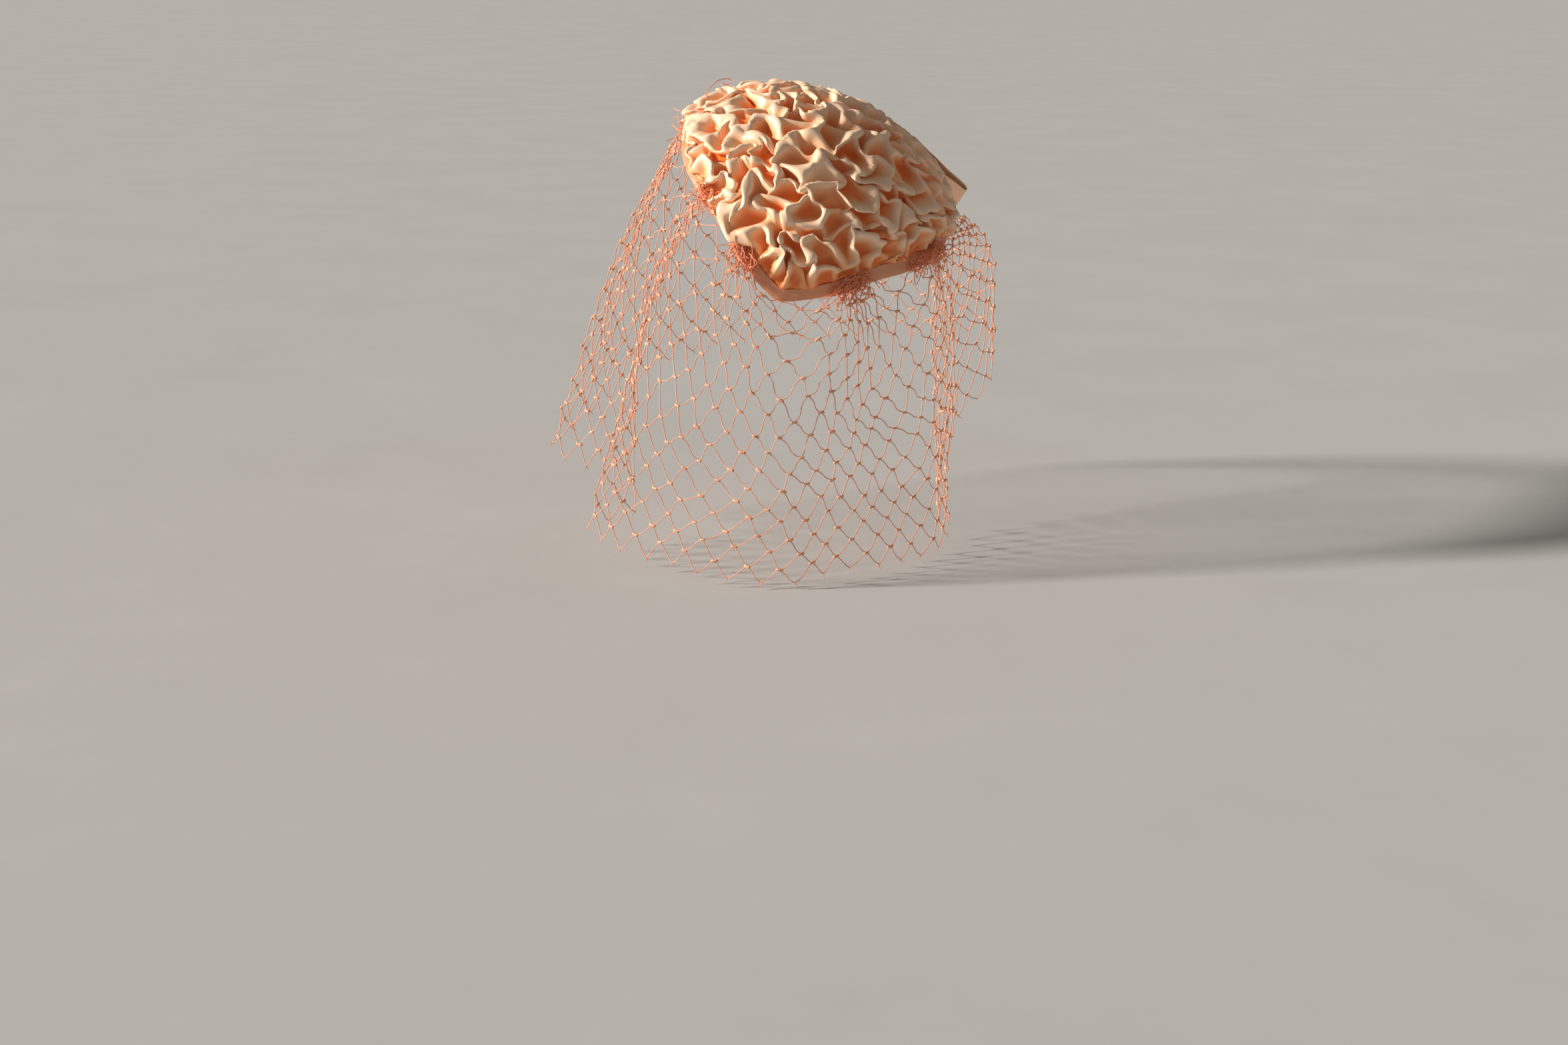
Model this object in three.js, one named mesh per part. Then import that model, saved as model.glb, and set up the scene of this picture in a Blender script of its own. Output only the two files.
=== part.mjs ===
// Fascinator: a tilted half hat in ruched satin with a face veil of open net.
//
// Lengths are in millimetres, angles in degrees. +Z is up and -Y is the wearer's front.
// The origin is the inner top of the crown, where the hat sits on a head.
// A place on the crown is given by a turn round it (0 at the front peak, growing to the
// wearer's left) and a share of the way from the crown's top to its rim.

import * as THREE from 'three';

// Crown
const CROWN_HALF_WIDTH = 71;
const CROWN_HALF_LENGTH = 74.5;
const CROWN_HEIGHT = 51;
const CROWN_WALL = 2;
const TILT_FORWARD = 23;
const TILT_SIDEWAYS = 21;
const TURN_ON_HEAD = -1;
const PEAK_REACH = 82.5;

// Edge binding
const BINDING_WALL = 1.1;
const BINDING_HEIGHT = 6.5;
const BINDING_INNER_HEIGHT = 5;
const BINDING_CLEARANCE = 0.4;

// Ruched cover
const COVER_WALL = 1.2;
const COVER_CLEARANCE = 0.5;
const RUCHE_HEIGHT = 8;
const RUCHE_EDGE_HEIGHT = 2.6;
const RUCHE_CREST_WIDTH = 9;
const TACK_SPACING = 14.5;
const TACK_SCATTER = 3.2;

// Veil
const VEIL_WALL = 1.2;
const VEIL_CLEARANCE = 0.35;
const VEIL_REACH = 140;
const VEIL_DROP = 190;
const NET_COLUMNS = 20;
const NET_ROWS = 6;
const NET_OPENING = 0.82;

// Gathered net knots on the binding
const TUFT_WIDTH = 15;
const TUFT_HEIGHT = 5.4;
const TUFT_DEPTH = 5;

// Bow at the back
const BOW_TURN = 0.432;
const BOW_PLACE = 0.905;
const BOW_LIFT = 6.9;
const BOW_DROOP = 0.45;
const BOW_LOOP_LENGTH = 34;
const BOW_LOOP_DEPTH = 5.5;
const BOW_RIBBON_WIDTH = 23;
const BOW_PINCHED_WIDTH = 13;
const BOW_RIBBON_WALL = 1.2;
const BOW_CLEARANCE = 0.3;
const BOW_KNOT_WIDTH = 11;

// Fineness of the faceted walls
const CROWN_RINGS = 10;
const COVER_RINGS = 20;
const BOW_LOOP_STEPS = 18;

// The rim's outline, from the front peak round one side to the back. The reach is the
// angle from the crown's axis to the rim, as a share of the reach at the peak.
const RIM_OUTLINE = [
  { turn: 0, reach: 1 },
  { turn: 1 / 24, reach: 0.903 },
  { turn: 1 / 12, reach: 0.8 },
  { turn: 1 / 8, reach: 0.757 },
  { turn: 1 / 6, reach: 0.744 },
  { turn: 1 / 4, reach: 0.745 },
  { turn: 1 / 3, reach: 0.818 },
  { turn: 5 / 12, reach: 0.872 },
  { turn: 1 / 2, reach: 0.85 },
];

// The large smooth folds that lie across the small ruches. Place and length are shares
// of the crown's top-to-rim arc, height is a share of the ruche height.
const MAIN_FOLDS = [
  { turn: -0.06, place: 0.8, heading: 0.02, length: 0.2, width: 0.075, height: 0.95 },
  { turn: 0.015, place: 0.76, heading: -0.06, length: 0.17, width: 0.07, height: 0.9 },
  { turn: -0.135, place: 0.42, heading: 0.2, length: 0.2, width: 0.07, height: 0.9 },
  { turn: -0.22, place: 0.62, heading: -0.05, length: 0.17, width: 0.06, height: 0.85 },
  { turn: 0.1, place: 0.62, heading: 0.13, length: 0.2, width: 0.065, height: 0.85 },
  { turn: 0.02, place: 0.38, heading: 0.3, length: 0.18, width: 0.07, height: 0.95 },
  { turn: 0.3, place: 0.66, heading: 0.35, length: 0.2, width: 0.07, height: 0.85 },
  { turn: -0.4, place: 0.6, heading: 0.1, length: 0.2, width: 0.07, height: 0.85 },
];

// The veil's hem, fold by fold. Each row hangs from a place on the rim (a turn) to a
// place on the hem: across and back are shares of the veil's reach, drop of its drop.
// The cloth leaves the rim towards a point that lies lean of the way out to the hem
// and has come down by all but fall of the drop, and hangs from there.
const VEIL_FOLDS = [
  { rim: -0.417, across: -0.443, back: 0.95, drop: 0.632, fall: 0.86, lean: 1 },
  { rim: -0.339, across: -0.657, back: 0.814, drop: 0.674, fall: 0.8, lean: 0.95 },
  { rim: -0.272, across: -0.8, back: 0.614, drop: 0.737, fall: 0.66, lean: 0.82 },
  { rim: -0.233, across: -1, back: 0.414, drop: 0.816, fall: 0.52, lean: 0.61 },
  { rim: -0.2, across: -0.89, back: 0.3, drop: 0.857, fall: 0.62, lean: 0.66 },
  { rim: -0.167, across: -0.773, back: 0.214, drop: 0.852, fall: 0.68, lean: 0.74 },
  { rim: -0.136, across: -0.696, back: 0.057, drop: 0.938, fall: 0.75, lean: 0.84 },
  { rim: -0.114, across: -0.826, back: -0.1, drop: 0.947, fall: 0.74, lean: 0.55 },
  { rim: -0.089, across: -0.65, back: -0.314, drop: 0.973, fall: 0.8, lean: 0.75 },
  { rim: -0.061, across: -0.509, back: -0.429, drop: 0.978, fall: 0.84, lean: 0.9 },
  { rim: -0.031, across: -0.329, back: -0.5, drop: 0.993, fall: 0.86, lean: 1 },
  { rim: 0, across: -0.166, back: -0.514, drop: 1, fall: 0.86, lean: 1 },
  { rim: 0.042, across: 0.001, back: -0.457, drop: 0.986, fall: 0.86, lean: 1 },
  { rim: 0.083, across: 0.168, back: -0.314, drop: 0.989, fall: 0.86, lean: 1 },
  { rim: 0.122, across: 0.32, back: -0.157, drop: 0.999, fall: 0.86, lean: 1 },
  { rim: 0.158, across: 0.41, back: 0.014, drop: 0.977, fall: 0.86, lean: 0.95 },
  { rim: 0.183, across: 0.35, back: 0.143, drop: 0.959, fall: 0.86, lean: 1 },
  { rim: 0.217, across: 0.44, back: 0.414, drop: 0.794, fall: 0.88, lean: 1.02 },
  { rim: 0.256, across: 0.549, back: 0.614, drop: 0.699, fall: 0.9, lean: 1.05 },
  { rim: 0.3, across: 0.601, back: 0.8, drop: 0.579, fall: 0.9, lean: 1 },
  { rim: 0.356, across: 0.393, back: 0.9, drop: 0.589, fall: 0.88, lean: 1 },
  { rim: 0.422, across: 0.129, back: 0.979, drop: 0.605, fall: 0.86, lean: 1 },
  { rim: 0.5, across: -0.157, back: 1.007, drop: 0.616, fall: 0.86, lean: 1 },
];

// The places round the rim where the net is gathered into a knot, with its share of the
// tuft width.
const NET_TUFTS = [
  { name: 'net_tuft_right', turn: -0.236, size: 0.9 },
  { name: 'net_tuft_right_front', turn: -0.125, size: 1 },
  { name: 'net_tuft_peak', turn: -0.047, size: 1.2 },
  { name: 'net_tuft_left_front', turn: 0.062, size: 1.1 },
  { name: 'net_tuft_left', turn: 0.19, size: 1.2 },
];

const FULL_TURN = 2 * Math.PI;
const UP = new THREE.Vector3(0, 0, 1);

const satin = { color: 0xf0c4a0, roughness: 0.42, metalness: 0 };
const materials = {
  foundation: new THREE.MeshStandardMaterial({ color: 0xe6b48e, roughness: 0.8, metalness: 0 }),
  cover: new THREE.MeshStandardMaterial(satin),
  binding: new THREE.MeshStandardMaterial({ ...satin, color: 0xe9b48c }),
  bow: new THREE.MeshStandardMaterial({ ...satin, color: 0xe8b08a }),
  net: new THREE.MeshStandardMaterial({ color: 0xdb8f6d, roughness: 0.6, metalness: 0 }),
};

function mix(a, b, share) {
  return a + (b - a) * share;
}

function smoothStep(value) {
  const x = Math.min(Math.max(value, 0), 1);
  return x * x * (3 - 2 * x);
}

// A repeatable scatter between -1 and 1 for each whole number.
function scatter(index, kind) {
  const wave = Math.sin(index * 12.9898 + kind * 78.233) * 437.5453;
  return 2 * (wave - Math.floor(wave)) - 1;
}

// A smooth value between four equally spaced ones, a quarter of the way after each.
function catmullRom(before, start, end, after, share) {
  const bend = 2 * before - 5 * start + 4 * end - after;
  const twist = 3 * start - before - 3 * end + after;
  return start + 0.5 * share * (end - before + share * (bend + share * twist));
}

// The angle from the crown's axis to the rim at a turn, in radians. The outline is the
// same on both sides and runs straight into the corner at the peak.
function rimReach(turn) {
  const folded = Math.abs(turn - Math.round(turn));
  let row = 0;
  while (row < RIM_OUTLINE.length - 2 && folded > RIM_OUTLINE[row + 1].turn) {
    row += 1;
  }
  const start = RIM_OUTLINE[row];
  const end = RIM_OUTLINE[row + 1];
  const before = RIM_OUTLINE[Math.max(row - 1, 0)];
  const after = RIM_OUTLINE[Math.min(row + 2, RIM_OUTLINE.length - 1)];
  const share = (folded - start.turn) / (end.turn - start.turn);
  const reach = catmullRom(before.reach, start.reach, end.reach, after.reach, share);
  return THREE.MathUtils.degToRad(PEAK_REACH * reach);
}

// A point on the crown, offset outwards from its inner face, and as far below the
// given share as the last value says.
function crownPoint(turn, share, offset, below = 0) {
  const angle = rimReach(turn) * share + below / CROWN_HALF_WIDTH;
  const around = FULL_TURN * turn;
  return new THREE.Vector3(
    (CROWN_HALF_WIDTH + offset) * Math.sin(angle) * Math.sin(around),
    -(CROWN_HALF_LENGTH + offset) * Math.sin(angle) * Math.cos(around),
    (CROWN_HEIGHT + offset) * Math.cos(angle) - CROWN_HEIGHT,
  );
}

// The same place laid out flat with true areas: distance from the axis and turn.
function flatPlace(turn, share) {
  const radius = 2 * CROWN_HALF_WIDTH * Math.sin((rimReach(turn) * share) / 2);
  return new THREE.Vector2(
    radius * Math.sin(FULL_TURN * turn),
    radius * Math.cos(FULL_TURN * turn),
  );
}

// An indexed mesh from a list of points and a list of triangles.
function solidFrom(points, triangles) {
  const geometry = new THREE.BufferGeometry();
  geometry.setFromPoints(points);
  geometry.setIndex(triangles.flat());
  geometry.computeVertexNormals();
  return geometry;
}

// A disc of rings, six more points on each than on the last, with even triangles.
// Each point is given to place as a turn and a share of the way out.
function ringedDisc(rings, place) {
  const points = [place(0, 0)];
  const triangles = [];
  const index = (ring, step) => {
    const count = 6 * ring;
    return ring === 0 ? 0 : 1 + 3 * ring * (ring - 1) + (((step % count) + count) % count);
  };
  for (let ring = 1; ring <= rings; ring += 1) {
    for (let step = 0; step < 6 * ring; step += 1) {
      points.push(place(step / (6 * ring), ring / rings));
    }
    for (let side = 0; side < 6; side += 1) {
      for (let step = 0; step < ring; step += 1) {
        const outer = side * ring + step;
        const inner = side * (ring - 1) + step;
        triangles.push([index(ring, outer), index(ring, outer + 1), index(ring - 1, inner)]);
        if (step < ring - 1) {
          triangles.push([
            index(ring, outer + 1),
            index(ring - 1, inner + 1),
            index(ring - 1, inner),
          ]);
        }
      }
    }
  }
  return { points, triangles, edgeStart: index(rings, 0), edgeCount: 6 * rings };
}

// A wall between two discs with the same rings, closed round their edge.
function wallBetween(rings, outerPlace, innerPlace) {
  const outer = ringedDisc(rings, outerPlace);
  const inner = ringedDisc(rings, innerPlace);
  const shift = outer.points.length;
  const triangles = [
    ...outer.triangles,
    ...inner.triangles.map(([a, b, c]) => [a + shift, c + shift, b + shift]),
  ];
  for (let step = 0; step < outer.edgeCount; step += 1) {
    const here = outer.edgeStart + step;
    const next = outer.edgeStart + ((step + 1) % outer.edgeCount);
    triangles.push([here, here + shift, next], [next, here + shift, next + shift]);
  }
  return solidFrom([...outer.points, ...inner.points], triangles);
}

// A closed ring: the same section, a loop of points, at each step round the ring.
function sectionRing(steps, section) {
  const points = [];
  const triangles = [];
  let corners = 0;
  for (let step = 0; step < steps; step += 1) {
    const loop = section(step / steps);
    corners = loop.length;
    points.push(...loop);
  }
  for (let step = 0; step < steps; step += 1) {
    const here = step * corners;
    const next = ((step + 1) % steps) * corners;
    for (let corner = 0; corner < corners; corner += 1) {
      const after = (corner + 1) % corners;
      triangles.push([here + corner, next + corner, here + after]);
      triangles.push([next + corner, next + after, here + after]);
    }
  }
  return solidFrom(points, triangles);
}

function crownFoundation() {
  return wallBetween(
    CROWN_RINGS,
    (turn, share) => crownPoint(turn, share, CROWN_WALL),
    (turn, share) => crownPoint(turn, share, 0),
  );
}

// A channel folded round the rim: an outer leg as high as the band that shows, a
// bottom just under the rim and a shorter inner leg.
function edgeBinding() {
  const outerFace = CROWN_WALL + BINDING_CLEARANCE;
  const under = BINDING_CLEARANCE;
  return sectionRing(6 * CROWN_RINGS, (turn) => [
    crownPoint(turn, 1, outerFace, -BINDING_HEIGHT),
    crownPoint(turn, 1, outerFace, under),
    crownPoint(turn, 1, -BINDING_CLEARANCE, under),
    crownPoint(turn, 1, -BINDING_CLEARANCE, -BINDING_INNER_HEIGHT),
    crownPoint(turn, 1, -BINDING_CLEARANCE - BINDING_WALL, -BINDING_INNER_HEIGHT),
    crownPoint(turn, 1, -BINDING_CLEARANCE - BINDING_WALL, under + BINDING_WALL),
    crownPoint(turn, 1, outerFace + BINDING_WALL, under + BINDING_WALL),
    crownPoint(turn, 1, outerFace + BINDING_WALL, -BINDING_HEIGHT),
  ]);
}

// Where the satin is tacked down: an even spiral of places, each moved a little.
function tackPlaces() {
  const widest = 2 * CROWN_HALF_WIDTH * Math.sin(THREE.MathUtils.degToRad(PEAK_REACH) / 2);
  const count = Math.round((Math.PI * widest * widest) / (0.87 * TACK_SPACING * TACK_SPACING));
  const goldenTurn = (3 - Math.sqrt(5)) / 2;
  const places = [];
  for (let index = 0; index < count; index += 1) {
    const radius = widest * Math.sqrt((index + 0.5) / count);
    const around = FULL_TURN * goldenTurn * index;
    places.push(new THREE.Vector2(
      radius * Math.sin(around) + TACK_SCATTER * scatter(index, 1),
      radius * Math.cos(around) + TACK_SCATTER * scatter(index, 2),
    ));
  }
  return places;
}

const TACKS = tackPlaces();

// The height of the satin's middle over its lowest lie: pockets at the tacks, crests
// halfway between two of them, and the main folds laid over both.
function rucheHeight(turn, share) {
  const place = flatPlace(turn, share);
  let nearest = Infinity;
  let second = Infinity;
  for (const tack of TACKS) {
    const distance = place.distanceTo(tack);
    if (distance < nearest) {
      second = nearest;
      nearest = distance;
    } else if (distance < second) {
      second = distance;
    }
  }
  let height = 1 - smoothStep((second - nearest) / RUCHE_CREST_WIDTH);
  for (const fold of MAIN_FOLDS) {
    const middle = flatPlace(fold.turn, fold.place);
    const unit = 2 * CROWN_HALF_WIDTH * Math.sin(THREE.MathUtils.degToRad(PEAK_REACH) / 2);
    const away = place.clone().sub(middle).rotateAround(new THREE.Vector2(), -FULL_TURN * fold.heading);
    const along = away.y / (fold.length * unit);
    const across = away.x / (fold.width * unit);
    const hold = Math.exp(-(along ** 4) - across ** 2);
    height = mix(height, fold.height, hold);
  }
  const inside = smoothStep((1 - share) / 0.12);
  return mix(RUCHE_EDGE_HEIGHT, RUCHE_HEIGHT, inside) * height;
}

// The cover ends just above the binding's top edge and bulges over it.
function ruchedCover() {
  const lowest = CROWN_WALL + COVER_CLEARANCE;
  const edge = (turn, share) => {
    const arc = rimReach(turn) * CROWN_HALF_WIDTH;
    return share * (1 - (BINDING_HEIGHT + BINDING_CLEARANCE) / arc);
  };
  return wallBetween(
    COVER_RINGS,
    (turn, share) => crownPoint(
      turn, edge(turn, share), lowest + COVER_WALL + rucheHeight(turn, share)),
    (turn, share) => crownPoint(turn, edge(turn, share), lowest + rucheHeight(turn, share)),
  );
}

// A value from a column of the veil's table at a share of the way round the hem's rows.
function veilColumn(name, place) {
  const count = VEIL_FOLDS.length;
  const row = Math.floor(place);
  const value = (step) => {
    const lap = Math.floor(step / count);
    return VEIL_FOLDS[step - lap * count][name] + (name === 'rim' ? lap : 0);
  };
  return catmullRom(value(row - 1), value(row), value(row + 1), value(row + 2), place - row);
}

function hemPoint(place) {
  return new THREE.Vector3(
    VEIL_REACH * veilColumn('across', place),
    VEIL_REACH * veilColumn('back', place),
    -VEIL_DROP * veilColumn('drop', place),
  );
}

// The hem's length up to each of many even steps, to space the net evenly along it.
function hemLengths() {
  const steps = 20 * VEIL_FOLDS.length;
  const lengths = [0];
  for (let step = 1; step <= steps; step += 1) {
    const before = hemPoint((step - 1) / 20);
    lengths.push(lengths[step - 1] + before.distanceTo(hemPoint(step / 20)));
  }
  return lengths;
}

const HEM_LENGTHS = hemLengths();

// The place in the table that lies a share of the hem's length along it.
function hemPlace(along) {
  const lap = Math.floor(along);
  const total = HEM_LENGTHS[HEM_LENGTHS.length - 1];
  const wanted = (along - lap) * total;
  let step = 1;
  while (HEM_LENGTHS[step] < wanted) {
    step += 1;
  }
  const share = (wanted - HEM_LENGTHS[step - 1]) / (HEM_LENGTHS[step] - HEM_LENGTHS[step - 1]);
  return lap * VEIL_FOLDS.length + (step - 1 + share) / 20;
}

// The veil's middle surface: a curve from the binding's lower edge out and down to the
// hem.
function veilPoint(along, down, crownTurn) {
  const place = hemPlace(along);
  const offset = CROWN_WALL + BINDING_CLEARANCE + BINDING_WALL + VEIL_CLEARANCE + VEIL_WALL / 2;
  const lowerEdge = BINDING_CLEARANCE + BINDING_WALL;
  const start = crownPoint(veilColumn('rim', place), 1, offset, lowerEdge);
  start.applyMatrix4(crownTurn);
  const end = hemPoint(place);
  const lean = veilColumn('lean', place);
  const fall = veilColumn('fall', place);
  const bend = new THREE.Vector3(
    mix(start.x, end.x, lean),
    mix(start.y, end.y, lean),
    mix(end.z, start.z, fall),
  );
  return new THREE.QuadraticBezierCurve3(start, bend, end).getPoint(down);
}

function veilNormal(along, down, crownTurn) {
  const step = 0.01;
  const round = veilPoint(along + step, down, crownTurn).sub(veilPoint(along - step, down, crownTurn));
  const lower = veilPoint(along, Math.min(down + step, 1), crownTurn);
  const fall = lower.sub(veilPoint(along, Math.max(down - step, 0), crownTurn));
  return fall.cross(round).normalize();
}

// The net: rows of four-cornered openings, each row half an opening along from the
// last, with a pointed edge at the rim and at the hem. The last row's points fall on
// the corners of the hem's folds.
function veil(crownTurn) {
  const columns = 2 * NET_COLUMNS;
  const levels = NET_ROWS + 1;
  const points = [];
  const triangles = [];
  const known = new Map();
  const vertex = (column, level, side) => {
    const key = `${((column % columns) + columns) % columns} ${level} ${side}`;
    if (!known.has(key)) {
      const along = column / columns;
      const down = level / levels;
      const offset = veilNormal(along, down, crownTurn).multiplyScalar((side * VEIL_WALL) / 2);
      known.set(key, points.length);
      points.push(veilPoint(along, down, crownTurn).add(offset));
    }
    return known.get(key);
  };
  const quad = (a, b, c, d) => triangles.push([a, b, c], [a, c, d]);
  const corners = [[0, -1], [-1, 0], [0, 1], [1, 0]];
  for (let row = 0; row < NET_ROWS; row += 1) {
    for (let cell = 0; cell < NET_COLUMNS; cell += 1) {
      const column = 2 * cell + ((NET_ROWS - 1 - row) % 2);
      const level = row + 1;
      const at = ([across, lower], share, side) => vertex(
        column + across * share, level + lower * share, side);
      corners.forEach((corner, turn) => {
        const next = corners[(turn + 1) % 4];
        quad(at(corner, 1, 1), at(next, 1, 1), at(next, NET_OPENING, 1), at(corner, NET_OPENING, 1));
        quad(at(next, 1, -1), at(corner, 1, -1), at(corner, NET_OPENING, -1),
          at(next, NET_OPENING, -1));
        quad(at(corner, NET_OPENING, 1), at(next, NET_OPENING, 1), at(next, NET_OPENING, -1),
          at(corner, NET_OPENING, -1));
        const rimEdge = row === 0 && corner[1] + next[1] < 0;
        const hemEdge = row === NET_ROWS - 1 && corner[1] + next[1] > 0;
        if (rimEdge || hemEdge) {
          quad(at(next, 1, 1), at(corner, 1, 1), at(corner, 1, -1), at(next, 1, -1));
        }
      });
    }
  }
  return solidFrom(points, triangles);
}

// A small pad of gathered net that lies flat on the binding.
function netTuft(size) {
  const profile = new THREE.EllipseCurve(0, 0, 0.5, 0.5, -Math.PI / 2, Math.PI / 2);
  const points = profile.getPoints(6);
  points[0].x = 0;
  points[points.length - 1].x = 0;
  const geometry = new THREE.LatheGeometry(points, 10);
  geometry.rotateX(Math.PI / 2);
  geometry.scale(TUFT_WIDTH * size, TUFT_HEIGHT, TUFT_DEPTH);
  return geometry;
}

// A frame on the crown: across it, up towards its top, and straight out of it.
function crownFrame(turn, share, offset, below = 0) {
  const step = 0.002;
  const round = crownPoint(turn + step, share, offset, below);
  round.sub(crownPoint(turn - step, share, offset, below)).normalize();
  const rise = crownPoint(turn, share - step, offset, below);
  rise.sub(crownPoint(turn, share + step, offset, below)).normalize();
  const out = round.clone().cross(rise).normalize();
  const frame = new THREE.Matrix4().makeBasis(round, out.clone().cross(round), out);
  return frame.setPosition(crownPoint(turn, share, offset, below));
}

// A flattened loop of ribbon, pinched where it meets the knot, falling towards the rim
// by the droop for each millimetre out, with a slant end. The side is 1 or -1.
function bowLoop(side) {
  const start = BOW_KNOT_WIDTH / 2 + BOW_CLEARANCE;
  const radius = BOW_LOOP_DEPTH / 2;
  const run = BOW_LOOP_LENGTH - BOW_LOOP_DEPTH;
  const path = (round, inset) => {
    const angle = FULL_TURN * round;
    const middle = start + radius + (Math.cos(angle) > 0 ? run : 0);
    const depth = radius - inset;
    return new THREE.Vector2(middle + depth * Math.cos(angle), radius + depth * Math.sin(angle));
  };
  return sectionRing(BOW_LOOP_STEPS, (round) => {
    const outer = path(round + 0.5 / BOW_LOOP_STEPS, 0);
    const inner = path(round + 0.5 / BOW_LOOP_STEPS, BOW_RIBBON_WALL);
    const spread = smoothStep((outer.x - start) / BOW_LOOP_LENGTH);
    const half = mix(BOW_PINCHED_WIDTH, BOW_RIBBON_WIDTH, spread) / 2;
    const slant = 0.12 * BOW_RIBBON_WIDTH * spread;
    const corner = (point, edge) => new THREE.Vector3(
      side * (point.x + edge * slant),
      edge * half - BOW_DROOP * (point.x - start),
      point.y,
    );
    const section = [corner(outer, 1), corner(outer, -1), corner(inner, -1), corner(inner, 1)];
    return side > 0 ? section : section.reverse();
  });
}

// The knot: a short wrapped band with rounded corners.
function bowKnot() {
  const depth = BOW_LOOP_DEPTH;
  const half = BOW_PINCHED_WIDTH / 2;
  const corner = 0.35 * depth;
  const outline = new THREE.Shape();
  outline.moveTo(-half + corner, 0);
  outline.lineTo(half - corner, 0);
  outline.quadraticCurveTo(half, 0, half, corner);
  outline.lineTo(half, depth - corner);
  outline.quadraticCurveTo(half, depth, half - corner, depth);
  outline.lineTo(-half + corner, depth);
  outline.quadraticCurveTo(-half, depth, -half, depth - corner);
  outline.lineTo(-half, corner);
  outline.quadraticCurveTo(-half, 0, -half + corner, 0);
  const geometry = new THREE.ExtrudeGeometry(outline, {
    depth: BOW_KNOT_WIDTH, bevelEnabled: false, curveSegments: 4,
  });
  geometry.translate(0, 0, -BOW_KNOT_WIDTH / 2);
  geometry.applyMatrix4(new THREE.Matrix4().makeBasis(
    new THREE.Vector3(0, 1, 0), UP, new THREE.Vector3(1, 0, 0)));
  return geometry;
}

function namedMesh(name, geometry, material) {
  const mesh = new THREE.Mesh(geometry, material);
  mesh.name = name;
  return mesh;
}

const fascinator = new THREE.Group();
fascinator.name = 'fascinator';

const hat = new THREE.Group();
hat.rotation.order = 'YXZ';
hat.rotation.set(
  THREE.MathUtils.degToRad(TILT_FORWARD),
  THREE.MathUtils.degToRad(TILT_SIDEWAYS),
  THREE.MathUtils.degToRad(TURN_ON_HEAD),
);
hat.updateMatrix();
fascinator.add(hat);

hat.add(namedMesh('cap_foundation', crownFoundation(), materials.foundation));
hat.add(namedMesh('edge_binding', edgeBinding(), materials.binding));
hat.add(namedMesh('ruched_cover', ruchedCover(), materials.cover));

for (const { name, turn, size } of NET_TUFTS) {
  const tuft = namedMesh(name, netTuft(size), materials.net);
  const seat = CROWN_WALL + BINDING_CLEARANCE + BINDING_WALL + BINDING_CLEARANCE + TUFT_DEPTH / 2;
  crownFrame(turn, 1, seat, -BINDING_HEIGHT / 2).decompose(tuft.position, tuft.quaternion, tuft.scale);
  hat.add(tuft);
}

const bow = new THREE.Group();
const bowSeat = CROWN_WALL + BOW_LIFT;
crownFrame(BOW_TURN, BOW_PLACE, bowSeat).decompose(bow.position, bow.quaternion, bow.scale);
bow.add(namedMesh('bow_loop_left', bowLoop(-1), materials.bow));
bow.add(namedMesh('bow_loop_right', bowLoop(1), materials.bow));
bow.add(namedMesh('bow_knot', bowKnot(), materials.bow));
hat.add(bow);

fascinator.add(namedMesh('veil', veil(hat.matrix), materials.net));

export default fascinator;
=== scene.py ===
"""Looks of a fascinator: a tilted half hat in ruched satin with a face veil of open net.

Lengths are in millimetres until a piece is made, angles in degrees or in turns. A place on
the crown is a turn round it (0 at the front peak, growing to the wearer's left) and a share
of the way from the crown's top to its rim, as in the part's own source.
"""

import math

import bpy
import numpy as np
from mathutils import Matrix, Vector


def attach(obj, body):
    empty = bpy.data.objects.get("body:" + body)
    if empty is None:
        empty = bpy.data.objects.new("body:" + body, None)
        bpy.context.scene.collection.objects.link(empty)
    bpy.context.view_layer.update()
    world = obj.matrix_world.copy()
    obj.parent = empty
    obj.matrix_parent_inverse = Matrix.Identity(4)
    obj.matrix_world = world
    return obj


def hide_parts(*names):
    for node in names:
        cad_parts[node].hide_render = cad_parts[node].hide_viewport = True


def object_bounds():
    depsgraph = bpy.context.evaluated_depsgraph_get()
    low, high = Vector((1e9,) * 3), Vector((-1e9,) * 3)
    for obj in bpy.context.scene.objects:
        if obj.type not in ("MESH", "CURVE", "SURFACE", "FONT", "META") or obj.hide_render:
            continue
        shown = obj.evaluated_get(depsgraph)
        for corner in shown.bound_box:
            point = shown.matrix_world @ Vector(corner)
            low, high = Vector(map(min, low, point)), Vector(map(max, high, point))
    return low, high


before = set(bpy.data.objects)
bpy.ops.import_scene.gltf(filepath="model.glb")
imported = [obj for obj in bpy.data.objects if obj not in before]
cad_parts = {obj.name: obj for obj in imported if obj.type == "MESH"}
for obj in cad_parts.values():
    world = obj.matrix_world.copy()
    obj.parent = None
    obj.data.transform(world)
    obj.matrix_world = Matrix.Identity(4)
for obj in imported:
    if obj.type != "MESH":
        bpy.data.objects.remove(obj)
cad_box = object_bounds()

MM = 0.001
FULL_TURN = 2 * math.pi
TINY_STEP = 0.002
SMALL_STEP = 0.004

# Crown, as in the part's source
CROWN_HALF_WIDTH = 71
CROWN_HALF_LENGTH = 74.5
CROWN_HEIGHT = 51
CROWN_WALL = 2
FOUNDATION_UNDER = 0.05
TILT_FORWARD = 23
TILT_SIDEWAYS = 21
TURN_ON_HEAD = -1
PEAK_REACH = math.radians(82.5)
RIM_TURNS = np.array([0, 1 / 24, 1 / 12, 1 / 8, 1 / 6, 1 / 4, 1 / 3, 5 / 12, 1 / 2])
RIM_REACHES = np.array([1, 0.903, 0.8, 0.757, 0.744, 0.745, 0.818, 0.872, 0.85])

# Edge binding
BINDING_WALL = 1.1
BINDING_HEIGHT = 6.5
BINDING_INNER_HEIGHT = 5
BINDING_CLEARANCE = 0.4

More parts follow.
